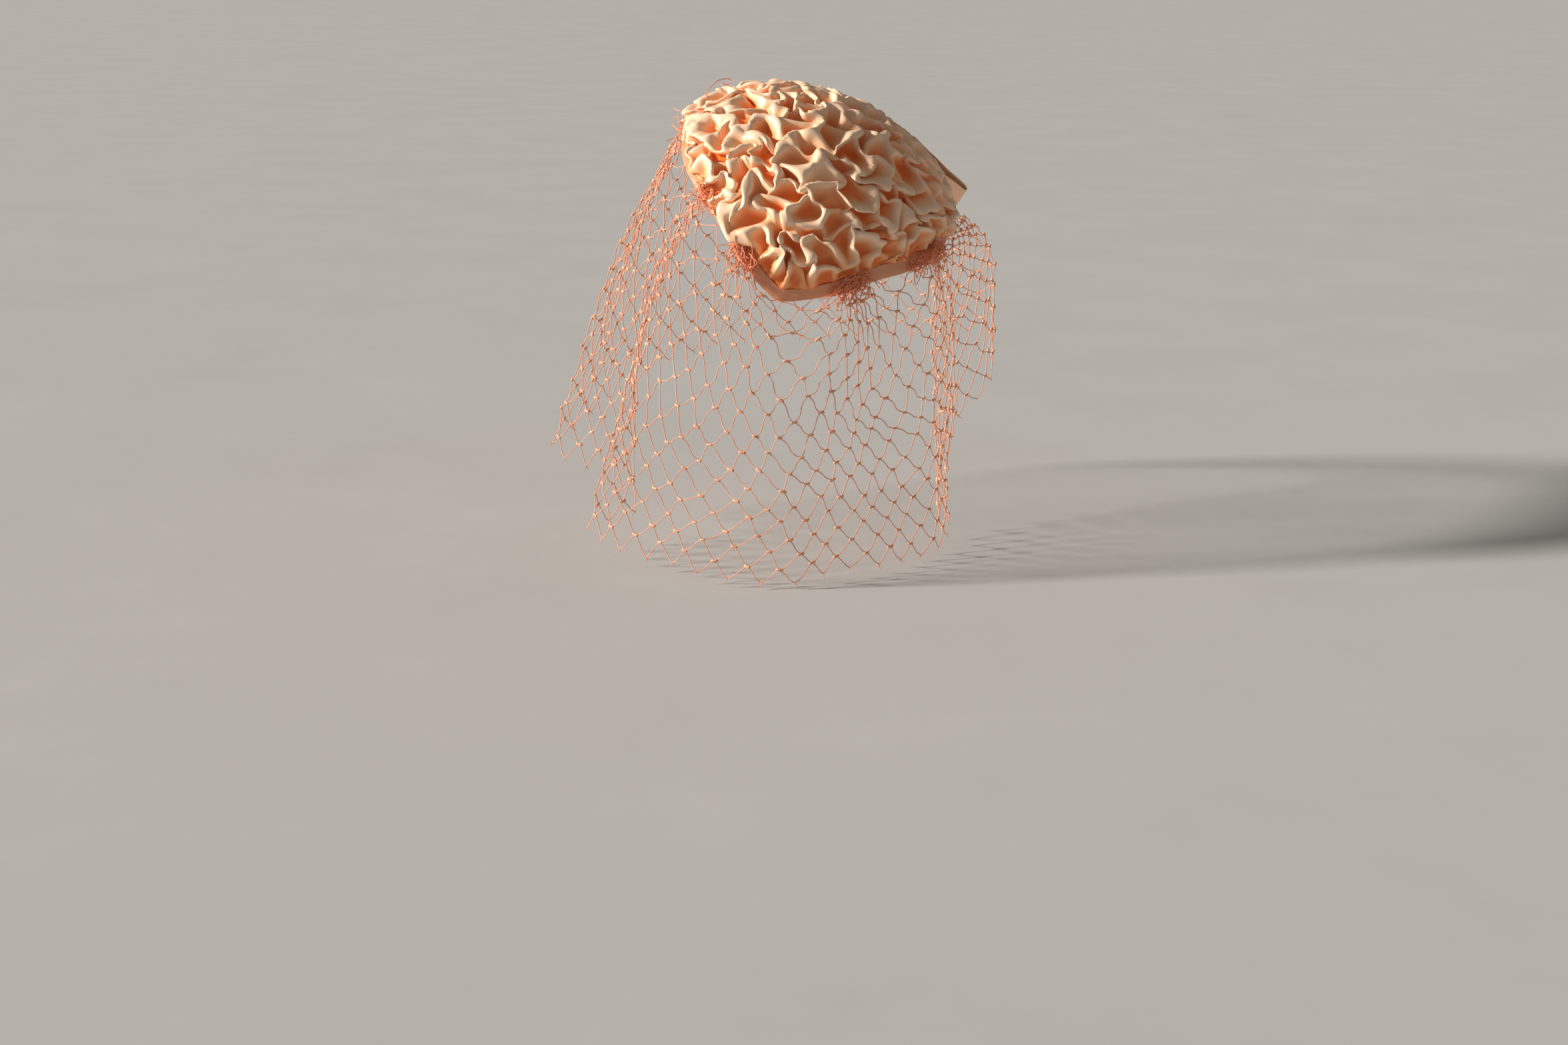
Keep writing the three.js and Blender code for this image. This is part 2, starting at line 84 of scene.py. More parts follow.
# Ruched cover
COVER_LOWEST = 2.9
COVER_THICKNESS = 0.3
COVER_CELLS = 146
COVER_FINE_CELLS = 216
COVER_HIGHEST = 11.5
COVER_FRONT_EDGE_HIGHEST = 5.8
COVER_SIDE_EDGE_HIGHEST = 10.8
BAND_SHOWS_FROM = -0.03
BAND_SHOWS_TO = 0.2
BAND_SHOWS_EASE = 0.04
COVER_OVER_BAND = 4.4
RUCHE_START_HEIGHT = 7.5
RUCHE_EDGE_HEIGHT = 2
RUCHE_EDGE_EASE = 0.1
RUCHE_CREST_WIDTH = 5
MAIN_FOLD_SHARE = 0.5
TACK_SPACING = 11.2
TACK_PACKING = 0.87
TACK_SCATTER = 3.6
CREST_UNEVENNESS = 0.8
CREST_LEAN = 2.5
EXTRA_CLOTH = 0.55
EXTRA_CLOTH_AT_EDGE = 0.25
CLOTH_BENDING = 38
CLOTH_NOISE = 0.05
CLOTH_GAP = 0.4
BLOCK_GAP = 0.6
SHELL_GAP = 0.3
SHELL_REACH = 1.02
SHELL_EASES_FROM = 0.8
SHELL_EASE = 0.13
SCANT_FROM = 0.88
SCANT_EASE = 0.12
SETTLE_FRAMES = 36
SETTLE_SCALE = 0.02
TACK_REACH = 1.6
TACKS_FREE_ABOVE = 0.35
EDGE_SINKS = 0.4
EDGE_LIFTS = 1.9
# Height over the crown across which the satin's painted shade goes from pocket to crest
PAINTED_SHADE_SPAN = 8.5

# Veil, with the hem's folds as in the part's source
VEIL_REACH = 140
VEIL_DROP = 190
VEIL_SEAT = 4.45
VEIL_SAMPLES = 24
VEIL_FOLDS = {
    "rim": [-0.417, -0.339, -0.272, -0.233, -0.2, -0.167, -0.136, -0.114, -0.089, -0.061,
            -0.031, 0, 0.042, 0.083, 0.122, 0.158, 0.183, 0.217, 0.256, 0.3, 0.356, 0.422, 0.5],
    "across": [-0.443, -0.657, -0.8, -1, -0.89, -0.773, -0.696, -0.826, -0.65, -0.509, -0.329,
               -0.166, 0.001, 0.168, 0.32, 0.41, 0.35, 0.44, 0.549, 0.601, 0.393, 0.129, -0.157],
    "back": [0.95, 0.814, 0.614, 0.414, 0.3, 0.214, 0.057, -0.1, -0.314, -0.429, -0.5, -0.514,
             -0.457, -0.314, -0.157, 0.014, 0.143, 0.414, 0.614, 0.8, 0.9, 0.979, 1.007],
    "drop": [0.632, 0.674, 0.737, 0.816, 0.857, 0.852, 0.938, 0.947, 0.973, 0.978, 0.993, 1,
             0.986, 0.989, 0.999, 0.977, 0.959, 0.794, 0.699, 0.579, 0.589, 0.605, 0.616],
    "fall": [0.86, 0.8, 0.66, 0.52, 0.62, 0.68, 0.75, 0.74, 0.8, 0.84, 0.86, 0.86, 0.86, 0.86,
             0.86, 0.86, 0.86, 0.88, 0.9, 0.9, 0.88, 0.86, 0.86],
    "lean": [1, 0.95, 0.82, 0.61, 0.66, 0.74, 0.84, 0.55, 0.75, 0.9, 1, 1, 1, 1, 1, 0.95, 1,
             1.02, 1.05, 1, 1, 1, 1],
}
NET_COLUMNS = 50
NET_ROWS = 17
NET_START = 0.75
CELL_SIDE = 11
GATHER_DEPTH = 0.3
THREAD_RADIUS = 0.23
THREAD_BOW = 0.07
THREAD_SAG = 0.05
KNOT_SHIFT_ALONG = 0.22
KNOT_SHIFT_DOWN = 0.2
KNOT_LENGTH = 3.2
KNOT_RADIUS = 0.85
KNOT_PINCH = 0.38
CELL_WIDTH_AT_RIM = 8.5
FRAYS_PER_TIP = 3
FRAY_LENGTH = 1.6
FRAY_LENGTH_SPREAD = 0.9
FRAY_RADIUS = 0.2
FRAY_END_RADIUS = 0.06
LOOSE_RADIUS = 0.24

# Narrow cells over the face: middle and reach along the hem, share, and ease above it
FACE_MIDDLE = 0.49
FACE_REACH = 0.12
FACE_NARROWER = 0.22
FACE_EASE = 0.3

# Where the net hangs askew: along and down in shares, degrees, radius
NET_TWISTS = [(0.5, 0.27, 36, 26), (0.43, 0.62, -12, 30), (0.56, 0.5, -16, 26),
              (0.36, 0.5, 18, 28), (0.3, 0.3, -20, 30), (0.68, 0.45, 20, 30),
              (0.85, 0.5, -22, 34), (0.12, 0.5, 20, 34)]
TWISTS_ACROSS = 0.85
TWISTS_DOWN = 0.8
TWISTS_EASE = 0.12

# Gathered net knots on the binding: turn, shares of the width and of the threads, length
# along the binding in widths, and how far the tangle trails to one side
TUFT_WIDTH = 15
TUFT_HALF_HEIGHT = 4.4
TUFT_HALF_DEPTH = 2.2
TUFT_THREADS = 46
TUFT_THREAD_RADIUS = 0.2
TUFT_LOOP_REACH = 8
TUFT_END_REACH = 6
TUFT_LIFT = 1.2
TUFT_FLOOR = -1.5
NET_TUFTS = {
    "right": (-0.236, 0.9, 0.5, 1, 0),
    "right_front": (-0.125, 1, 0.8, 1.7, 6),
    "peak": (-0.047, 1.2, 1, 1, 0),
    "left_front": (0.062, 1.15, 1.1, 1.2, 2),
    "left": (0.19, 1.05, 1.5, 2.5, -8),
}

# Bow at the back
BOW_TURN = 0.432
BOW_PLACE = 0.905
BOW_LIFT = 6.9
BOW_DROOP = 0.45
BOW_LOOP_LENGTH = 34
BOW_LOOP_DEPTH = 5.5
BOW_END_FLATNESS = 0.36
BOW_RIBBON_WIDTH = 23
BOW_PINCHED_WIDTH = 13
BOW_KNOT_WIDTH = 11
BOW_CLEARANCE = 0.3
RIBBON_THICKNESS = 0.5


def turned(axis, degrees):
    """The matrix of a turn about one axis: cosines on the diagonal, sines across it."""
    c, s = math.cos(math.radians(degrees)), math.sin(math.radians(degrees))
    return np.array({
        "x": [[1, 0, 0], [0, c, -s], [0, s, c]],
        "y": [[c, 0, s], [0, 1, 0], [-s, 0, c]],
        "z": [[c, -s, 0], [s, c, 0], [0, 0, 1]],
    }[axis])


HAT_TURN = turned("y", TILT_SIDEWAYS) @ turned("x", TILT_FORWARD) @ turned("z", TURN_ON_HEAD)


def placed(points):
    """Points of the hat's own frame in the model's frame: times the hat's turn."""
    return points @ HAT_TURN.T


def mix(a, b, share):
    """A straight blend: a plus share of the way to b."""
    return a + (b - a) * share


def smooth_step(value):
    """0 below 0 and 1 above 1, with x squared times three minus two x between."""
    x = np.clip(value, 0, 1)
    return x * x * (3 - 2 * x)


def scatter(index, kind):
    """A repeatable scatter from -1 to 1: twice a large sine's fraction, less one."""
    wave = np.sin(np.asarray(index) * 12.9898 + kind * 78.233) * 437.5453
    return 2 * (wave - np.floor(wave)) - 1


def unit(vectors):
    """Vectors divided by their own length."""
    return vectors / np.maximum(np.linalg.norm(vectors, axis=-1, keepdims=True), 1e-9)


def catmull_rom(before, start, end, after, share):
    """The cubic through start and end whose slopes come from the neighbours."""
    bend = 2 * before - 5 * start + 4 * end - after
    twist = 3 * start - before - 3 * end + after
    return start + 0.5 * share * (end - before + share * (bend + share * twist))


def four_rows(table, row):
    """The rows of a table before, at, one after and two after a row, kept within it."""
    return [table[np.clip(row + step, 0, len(table) - 1)] for step in (-1, 0, 1, 2)]


def running_length(points):
    """The length of a path up to each of its points: the sum of its steps, from zero."""
    steps = np.linalg.norm(np.diff(points, axis=-2), axis=-1)
    return np.concatenate([np.zeros_like(steps[..., :1]), np.cumsum(steps, -1)], -1)


def rim_reach(turn):
    """The angle from the crown's axis to the rim: a cubic through its table."""
    folded = np.abs(turn - np.round(turn))
    row = np.clip(np.searchsorted(RIM_TURNS, folded, side="left") - 1, 0, len(RIM_TURNS) - 2)
    share = (folded - RIM_TURNS[row]) / (RIM_TURNS[row + 1] - RIM_TURNS[row])
    return PEAK_REACH * catmull_rom(*four_rows(RIM_REACHES, row), share)


def crown_point(turn, share, offset, below=0.0):
    """A point of the half ellipsoid: sine of the reach times the turn's sine and cosine
    across, cosine of the reach up, with the offset added to the three half axes."""
    turn, share, offset, below = np.broadcast_arrays(turn, share, offset, below)
    reach = rim_reach(turn) * share + below / CROWN_HALF_WIDTH
    around = FULL_TURN * turn
    return np.stack([
        (CROWN_HALF_WIDTH + offset) * np.sin(reach) * np.sin(around),
        -(CROWN_HALF_LENGTH + offset) * np.sin(reach) * np.cos(around),
        (CROWN_HEIGHT + offset) * np.cos(reach) - CROWN_HEIGHT,
    ], -1)


def flat_place(turn, share):
    """The same place laid flat: twice the half width times the sine of half the reach."""
    radius = 2 * CROWN_HALF_WIDTH * np.sin(rim_reach(turn) * share / 2)
    return np.stack([radius * np.sin(FULL_TURN * turn), radius * np.cos(FULL_TURN * turn)], -1)


def crown_frame(turn, share, offset):
    """Three directions at a place on the crown: round it, up to its top and out of it, from
    the differences of points close by."""
    ahead = unit(crown_point(turn + TINY_STEP, share, offset)
                 - crown_point(turn - TINY_STEP, share, offset))
    rise = unit(crown_point(turn, share - TINY_STEP, offset)
                - crown_point(turn, share + TINY_STEP, offset))
    out = unit(np.cross(ahead, rise))
    return np.stack([ahead, np.cross(out, ahead), out])


def grid_faces(count_u, count_v, closed_u=False, closed_v=False):
    """Quads over a grid of points, and the grid place of each of their corners."""
    cells = np.indices((count_u - (not closed_u), count_v - (not closed_v))).reshape(2, -1).T
    corners = cells[:, None] + [[0, 0], [1, 0], [1, 1], [0, 1]]
    wrapped = corners % (count_u, count_v)
    return wrapped[..., 0] * count_v + wrapped[..., 1], corners


def fan(pole, first, steps):
    """Triangles from a pole point to the sides of a closed ring, which starts at a point."""
    here = np.arange(steps)
    return np.stack([np.full(steps, pole), first + here, first + (here + 1) % steps], -1)


def capped_grid(rings, steps):
    """Quads over closed rings, triangles from both end rings to pole points that come after
    all rings, and the grid place of each quad's corners."""
    quads, corners = grid_faces(rings, steps, closed_v=True)
    end = rings * steps
    caps = [fan(end, 0, steps), fan(end + 1, end - steps, steps)[:, [0, 2, 1]]]
    return quads, np.concatenate(caps), corners


def disc_grid(rings, steps, widest=1):
    """The shares and the turns of a disc's rings, without its middle."""
    share = np.linspace(0, widest, rings + 1)[1:]
    return np.meshgrid(share, np.arange(steps) / steps, indexing="ij")


def set_all(owner, **values):
    """Several settings of one owner."""
    for key, value in values.items():
        setattr(owner, key, value)


def add_object(name, data):
    """An object made of this data, in the scene."""
    item = bpy.data.objects.new(name, data)
    bpy.context.scene.collection.objects.link(item)
    return item


def add_mesh(name, points, faces, scale=MM):
    """A mesh object from points and a list of face arrays."""
    mesh = bpy.data.meshes.new(name)
    rows = [row for group in faces for row in group.tolist()]
    mesh.from_pydata((points * scale).tolist(), [], rows)
    return add_object(name, mesh)


def make_piece(name, points, faces, material, replaced, corner_uv, rise=None):
    """A piece on the hat's one body, from points in millimetres, a list of face arrays, a
    list of their corners' UV places, and the rise, by which the satin is painted with shade
    from the pale crest to the deep orange pocket."""
    piece = add_mesh(name, points, faces)
    mesh = piece.data
    layer = mesh.uv_layers.new(name="cloth")
    uv = np.concatenate([np.ravel(places) for places in corner_uv])
    layer.data.foreach_set("uv", uv.astype(np.float32))
    # The rise drives the satin's painted shade
    if rise is not None:
        attribute = mesh.attributes.new("rise", "FLOAT", "POINT")
        attribute.data.foreach_set("value", np.asarray(rise, np.float32))
    mesh.shade_smooth()
    mesh.materials.append(material)
    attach(piece, "root")
    if replaced:
        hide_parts(*replaced)
    return piece


def thicken(piece, thickness):
    """A wall of cloth under the surface, in millimetres."""
    wall = piece.modifiers.new("thickness", "SOLIDIFY")
    wall.thickness = thickness * MM
    wall.offset = -1


def thread_piece(name, paths, radii, sides, material, replaced=()):
    """A piece of round threads: at each step of a path a circle square to it, its
    directions carried along without twist, and a pole point at each end. The paths are an
    array of threads, steps and coordinates."""
    threads, steps = paths.shape[:2]
    along = unit(np.gradient(paths, axis=1))
    aside = np.empty_like(along)
    start = np.where(np.abs(along[:, :1, 2:]) < 0.8, [0.0, 0.0, 1.0], [1.0, 0.0, 0.0])
    aside[:, 0] = unit(np.cross(along[:, 0], start[:, 0]))
    for step in range(1, steps):
        before = aside[:, step - 1]
        drift = np.sum(before * along[:, step], -1, keepdims=True)
        aside[:, step] = unit(before - drift * along[:, step])
    across = np.cross(along, aside)
    angle = FULL_TURN * np.arange(sides) / sides
    ring = (np.cos(angle)[:, None] * aside[:, :, None]
            + np.sin(angle)[:, None] * across[:, :, None])
    radii = np.broadcast_to(radii, (threads, steps))[..., None, None]
    body = (paths[:, :, None] + radii * ring).reshape(threads, -1, 3)
    points = np.concatenate([body, paths[:, :1], paths[:, -1:]], 1)
    quads, caps, corners = capped_grid(steps, sides)
    shift = (np.arange(threads) * (steps * sides + 2))[:, None, None]
    length = running_length(paths)
    quad_uv = np.stack([
        np.broadcast_to(corners[..., 1] / sides, (threads, *corners.shape[:2])),
        length[:, corners[..., 0]]], -1)
    cap_uv = np.zeros((threads, len(caps), 3, 2))
    cap_uv[:, sides:, :, 1] = length[:, -1, None, None]
    faces = [(quads + shift).reshape(-1, 4)[:, ::-1], (caps + shift).reshape(-1, 3)[:, ::-1]]
    make_piece(name, points.reshape(-1, 3), faces, material, replaced,
               [quad_uv[:, :, ::-1], cap_uv[:, :, ::-1]])


# Materials

def wire(made, *first, **named):
    """Feeds a node: its first inputs in their order and others by title, with an underscore
    for each space. An output is linked, a value is set, any other name is a setting."""
    pairs = list(enumerate(first))
    for key, value in named.items():
        title = key.replace("_", " ")
        if title in made.inputs:
            pairs.append((title, value))
        else:
            setattr(made, key, value)
    for place, value in pairs:
        if isinstance(value, bpy.types.NodeSocket):
            made.id_data.links.new(value, made.inputs[place])
        else:
            made.inputs[place].default_value = value
    return made.outputs


def new_material(name):
    """A material, its shader and the maker of its nodes, which gives their outputs."""
    material = bpy.data.materials.new(name)
    material.use_nodes = True
    nodes = material.node_tree.nodes

    def node(kind, *first, **named):
        """A new node of this kind, fed by wire."""
        return wire(nodes.new("ShaderNode" + kind), *first, **named)

    return material, nodes["Principled BSDF"], node


def colour_ramp(node, factor, *stops):
    """A ramp from a factor through colours at their places."""
    colour = node("ValToRGB", factor)["Color"]
    elements = colour.node.color_ramp.elements
    while len(elements) < len(stops):
        elements.new(0.5)
    for element, (place, shade) in zip(elements, stops):
        element.position = place
        element.color = (*shade, 1)
    return colour


def cloth_bump(node, *layers):
    """Bumps laid on each other, each from a height output, a distance and a strength."""
    under = {}
    for height, distance, strength in layers:
        bump = node("Bump", Height=height, Distance=distance, Strength=strength, **under)
        under = {"Normal": bump["Normal"]}
    return bump["Normal"]


def noise(node, vector, scale, detail, roughness=0.6):
    """Fractal noise at this scale, from a vector output."""
    return node("TexNoise", vector, Scale=scale, Detail=detail, Roughness=roughness)["Fac"]


def satin(name, crest, middle, pocket, shaded_by=None):
    """Satin: fine diagonal floats on the cloth's own UV map, uneven sheen, and painted shade: by
    the piece's own attribute its colour goes from the pale crest to a deep orange in the pocket,
    which stands in for shade and light bounced between the folds."""
    material, shader, node = new_material(name)
    cloth = node("UVMap", uv_map="cloth")["UV"]
    patches = noise(node, node("TexCoord")["Object"], 45, 3, 0.55)
    if shaded_by:
        depth = node("Attribute", attribute_name=shaded_by)["Fac"]
        unevenness = 0.25
        uneven = node("Math", patches, unevenness, depth, operation="MULTIPLY_ADD")["Value"]
        shift = node("Math", uneven, unevenness / 2, operation="SUBTRACT")["Value"]
        # Painted shade: deep orange at low values of the attribute, pale at high, with a little
        # random tone
        colour = colour_ramp(node, shift, (0.03, pocket), (0.36, middle), (0.76, crest))
    else:
        colour = colour_ramp(node, patches, (0.3, middle), (0.7, crest))
    gloss = node("MapRange", patches, To_Min=0.3, To_Max=0.44)["Result"]
    floats = node("TexWave", cloth, bands_direction="DIAGONAL", Scale=1.1, Distortion=0.6,
                  Detail=1)["Fac"]
    slubs = noise(node, cloth, 0.6, 4)
    wire(shader, Base_Color=colour, Roughness=gloss, Specular_IOR_Level=0.45, Sheen_Weight=0.2,
         Sheen_Roughness=0.4, Sheen_Tint=(1, 0.7, 0.5, 1),
         Normal=cloth_bump(node, (floats, 0.00003, 0.25), (slubs, 0.0004, 0.25)))
    return material


def net_thread(name, light, dark):
    """Dyed net thread: two plies twisted along the thread's UV map, in uneven colour."""
    material, shader, node = new_material(name)
    thread = node("UVMap", uv_map="cloth")["UV"]
    dye = noise(node, node("TexCoord")["Object"], 60, 4)
    plies = node("TexWave", thread, bands_direction="DIAGONAL", Scale=0.8, Distortion=0.4)["Fac"]
    wire(shader, Base_Color=colour_ramp(node, dye, (0.3, dark), (0.7, light)), Roughness=0.5,
         Sheen_Weight=0.12, Sheen_Tint=(1, 0.65, 0.45, 1),
         Normal=cloth_bump(node, (plies, 0.00012, 0.6)))
    return material


def stiffened_cloth(name, light, dark):
    """The foundation's open stiffened weave: two crossing sets of yarns on the UV map."""
    material, shader, node = new_material(name)
    cloth = node("UVMap", uv_map="cloth")["UV"]
    yarns = [node("TexWave", cloth, bands_direction=direction, Scale=0.32, Distortion=1.2,
                  Detail=2)["Fac"] for direction in ("X", "Y")]
    crossing = node("Math", *yarns, operation="MAXIMUM")["Value"]
    wire(shader, Base_Color=colour_ramp(node, crossing, (0.2, dark), (0.8, light)),
         Roughness=0.82, Sheen_Weight=0.2, Normal=cloth_bump(node, (crossing, 0.0003, 0.5)))
    return material


# The cover's satin, with painted shade from the pale crest to the deep orange pocket by its rise
cover_satin = satin("ruched_satin", (0.98, 0.69, 0.48), (0.94, 0.47, 0.22),
                    (0.84, 0.2, 0.03), shaded_by="rise")
# The binding's satin: a darker, redder copy of the cover's, painted shade for the band that sits
# in shade under the cover
binding_satin = satin("binding_satin", (0.76, 0.37, 0.21), (0.7, 0.29, 0.15), (0.66, 0.21, 0.09))
# The bow's satin: a lighter copy of the cover's, painted light that offsets the shade it sits in,
# plus painted shade in its creases by its rise
bow_satin = satin("bow_satin", (0.98, 0.7, 0.48), (0.95, 0.55, 0.31), (0.84, 0.25, 0.06),
                  shaded_by="rise")
veil_thread = net_thread("veil_thread", (0.92, 0.45, 0.29), (0.8, 0.3, 0.17))
# Tuft thread: a lighter copy of the veil's thread, painted light that offsets the shade within
# the tangles
tuft_thread = net_thread("tuft_thread", (1, 0.43, 0.24), (0.92, 0.27, 0.11))
# Knot thread: a lighter copy of the veil's thread, painted light on the knots
knot_thread = net_thread("knot_thread", (0.92, 0.5, 0.32), (0.84, 0.38, 0.22))
foundation_cloth = stiffened_cloth("foundation_cloth", (0.78, 0.5, 0.36), (0.5, 0.26, 0.16))


# Foundation and binding

def crown_foundation():
    """The stiffened shell: an outer and an inner disc of rings on the half ellipsoid, joined
    round the rim, with a pole point at each top."""
    rings, steps = 40, 168
    outside = CROWN_WALL - FOUNDATION_UNDER
    share, turn = disc_grid(rings, steps)
    outer = crown_point(turn, share, outside)
    inner = crown_point(turn, share, 0)
    poles = [crown_point(0, 0, outside), crown_point(0, 0, 0)]
    points = np.concatenate([np.concatenate([outer, inner[::-1]]).reshape(-1, 3), poles])
    quads, caps, _ = capped_grid(2 * rings, steps)
    laid = flat_place(turn, share)
    laid = np.concatenate([laid, laid[::-1]]).reshape(-1, 2)
    laid = np.concatenate([laid, np.zeros((2, 2))])
    make_piece("crown_foundation", placed(points), [quads, caps], foundation_cloth,
               ["cap_foundation"], [laid[quads], laid[caps]])


def edge_binding():
    """A folded satin channel: a loop of section points round the rim, its outer leg rolled
    at both edges and drawn in a little by stitches."""
    steps = 480
    turn = np.arange(steps) / steps
    outer = CROWN_WALL + BINDING_CLEARANCE
    inner = -BINDING_CLEARANCE
    wall = BINDING_WALL
    low, inner_low = -BINDING_HEIGHT, -BINDING_INNER_HEIGHT
    section = np.array([
        [outer + 0.2, low - 0.25], [outer, low + 0.6], [outer, -3], [outer, 0],
        [outer - 0.3, 0.35], [inner + 0.3, 0.35], [inner, 0], [inner, -2.5],
        [inner, inner_low], [inner - 0.45, inner_low - 0.3],
        [inner - wall * 0.9, inner_low + 0.2], [inner - wall, -2.5],
        [inner - wall, 0.2], [inner - wall * 0.6, 1.1], [inner + 0.4, 1.5], [outer * 0.5, 1.6],
        [outer - 0.2, 1.5], [outer + wall * 0.7, 1.15], [outer + wall, 0.3],
        [outer + wall, -1.5], [outer + wall, -3.4], [outer + wall * 0.98, -5],
        [outer + wall * 1.05, -6], [outer + wall * 0.95, -6.6], [outer + wall * 0.55, -6.85]])
    face = smooth_step((section[:, 0] - outer - 0.3) / 0.6)
    stitch = np.sin(FULL_TURN * 54 * turn + 2.2 * np.sin(FULL_TURN * 5 * turn))
    wave = 0.12 * stitch[:, None] * np.sin(math.pi * np.clip(-section[:, 1] / 6.5, 0, 1))
    crease = -0.28 * np.exp(-((section[:, 1] + 5.2) / 0.35) ** 2)
    offset = section[:, 0] + face * (wave + crease)
    below = section[:, 1] + 0.18 * face * np.sin(FULL_TURN * 23 * turn + 1.3)[:, None]
    points = crown_point(turn[:, None], 1.0, offset, below)
    quads, corners = grid_faces(steps, len(section), closed_u=True, closed_v=True)
    rim_length, section_step = 420, 0.9
    make_piece("satin_edge_binding", placed(points.reshape(-1, 3)), [quads], binding_satin,
               ["edge_binding"], [corners * (rim_length / steps, section_step)])


# Ruched cover

MAIN_FOLDS = [
    (-0.06, 0.8, 0.02, 0.2, 0.075), (0.015, 0.76, -0.06, 0.17, 0.07),
    (-0.135, 0.42, 0.2, 0.2, 0.07), (-0.22, 0.62, -0.05, 0.17, 0.06),
    (0.1, 0.62, 0.13, 0.2, 0.065), (0.02, 0.38, 0.3, 0.18, 0.07),
    (0.3, 0.66, 0.35, 0.2, 0.07), (-0.4, 0.6, 0.1, 0.2, 0.07)]
WIDEST = 2 * CROWN_HALF_WIDTH * math.sin(PEAK_REACH / 2)


def fold_hold(places):
    """How far a flat place lies in a main fold: one in its middle, less by the fourth power
    along its length and the square across its width."""
    hold = np.zeros(len(places))
    for turn, place, heading, length, width in MAIN_FOLDS:
        away = places - flat_place(np.array(turn), np.array(place))
        c, s = math.cos(FULL_TURN * heading), math.sin(FULL_TURN * heading)
        across = away[:, 0] * c + away[:, 1] * s
        along = -away[:, 0] * s + away[:, 1] * c
        shape = -(along / (length * WIDEST)) ** 4 - (across / (width * WIDEST)) ** 2
        hold = np.maximum(hold, np.exp(shape))
    return hold


def tack_places():
    """Where the satin is stitched down: an even golden spiral, each place moved a little."""
    count = round(math.pi * WIDEST ** 2 / (TACK_PACKING * TACK_SPACING ** 2))
    index = np.arange(count)
    radius = WIDEST * np.sqrt((index + 0.5) / count)
    around = FULL_TURN * (3 - math.sqrt(5)) / 2 * index
    return np.stack([radius * np.sin(around) + TACK_SCATTER * scatter(index, 1),
                     radius * np.cos(around) + TACK_SCATTER * scatter(index, 2)], -1)


def band_shows(turn):
    """One round the front, where the cover stops at the binding's upper edge, and none
    elsewhere, where it bulges over the binding."""
    lapped = turn - np.round(turn)
    return (smooth_step((lapped - BAND_SHOWS_FROM) / BAND_SHOWS_EASE + 1)
            * smooth_step((BAND_SHOWS_TO - lapped) / BAND_SHOWS_EASE + 1))


def cloth_grid():
    """A square pressed into a disc: x times the root of one less half of y squared, and the
    same for y. Gives turn, share to the cover's edge and share to the rim."""
    line = np.linspace(-1, 1, COVER_CELLS + 1)
    x, y = np.meshgrid(line, line, indexing="ij")
    disc_x = x * np.sqrt(1 - y * y / 2)
    disc_y = y * np.sqrt(1 - x * x / 2)
    share = np.hypot(disc_x, disc_y).ravel()
    turn = (np.arctan2(disc_x, disc_y) / FULL_TURN).ravel()
    above_rim = BINDING_HEIGHT + BINDING_CLEARANCE - COVER_OVER_BAND * (1 - band_shows(turn))
    return turn, share, share * (1 - above_rim / (rim_reach(turn) * CROWN_HALF_WIDTH))


def start_of_ruching(turn, share, place, tacks):
    """The cloth before it settles: low at each tack and high halfway between two of them,
    each crest of its own height and leaning its own way."""
    flat = flat_place(turn, place)
    apart = np.linalg.norm(flat[:, None] - tacks[None], axis=2)
    two = np.argsort(apart, axis=1)[:, :2]
    near, next_near = np.take_along_axis(apart, two, 1).T
    pair = two.min(1) * 1000 + two.max(1)
    crest = 1 - smooth_step((next_near - near) / RUCHE_CREST_WIDTH)
    crest = crest * (1 - CREST_UNEVENNESS * (0.5 + 0.5 * scatter(pair, 3)))
    crest = mix(crest, 0.95, MAIN_FOLD_SHARE * fold_hold(flat))
    inside = smooth_step((1 - share) / RUCHE_EDGE_EASE)
    height = crest * mix(RUCHE_EDGE_HEIGHT, RUCHE_START_HEIGHT, inside)
    points = crown_point(turn, place, COVER_LOWEST + height)
    lean_turn = math.pi * (1 + scatter(two[:, 0], 5))
    lean = CREST_LEAN * (height / RUCHE_START_HEIGHT) ** 2
    points[:, 0] += lean * np.cos(lean_turn)
    points[:, 1] += lean * np.sin(lean_turn)
    return points, flat


def firm_shell(offset, front_edge, side_edge):
    """A dome that the satin can't pass: rings on the ellipsoid, at an offset that eases to
    others near the cover's edge, and a pole point. Its faces look outwards."""
    rings, steps = 24, 96
    share, turn = disc_grid(rings, steps, SHELL_REACH)
    at_edge = mix(side_edge, front_edge, band_shows(turn))
    near_edge = smooth_step((share - SHELL_EASES_FROM) / SHELL_EASE)
    points = crown_point(turn, share, mix(offset, at_edge, near_edge))
    quads, _ = grid_faces(rings, steps, closed_v=True)
    top = crown_point(0, 0, offset)
    return np.concatenate([points.reshape(-1, 3), [top]]), [quads, fan(rings * steps, 0, steps)]


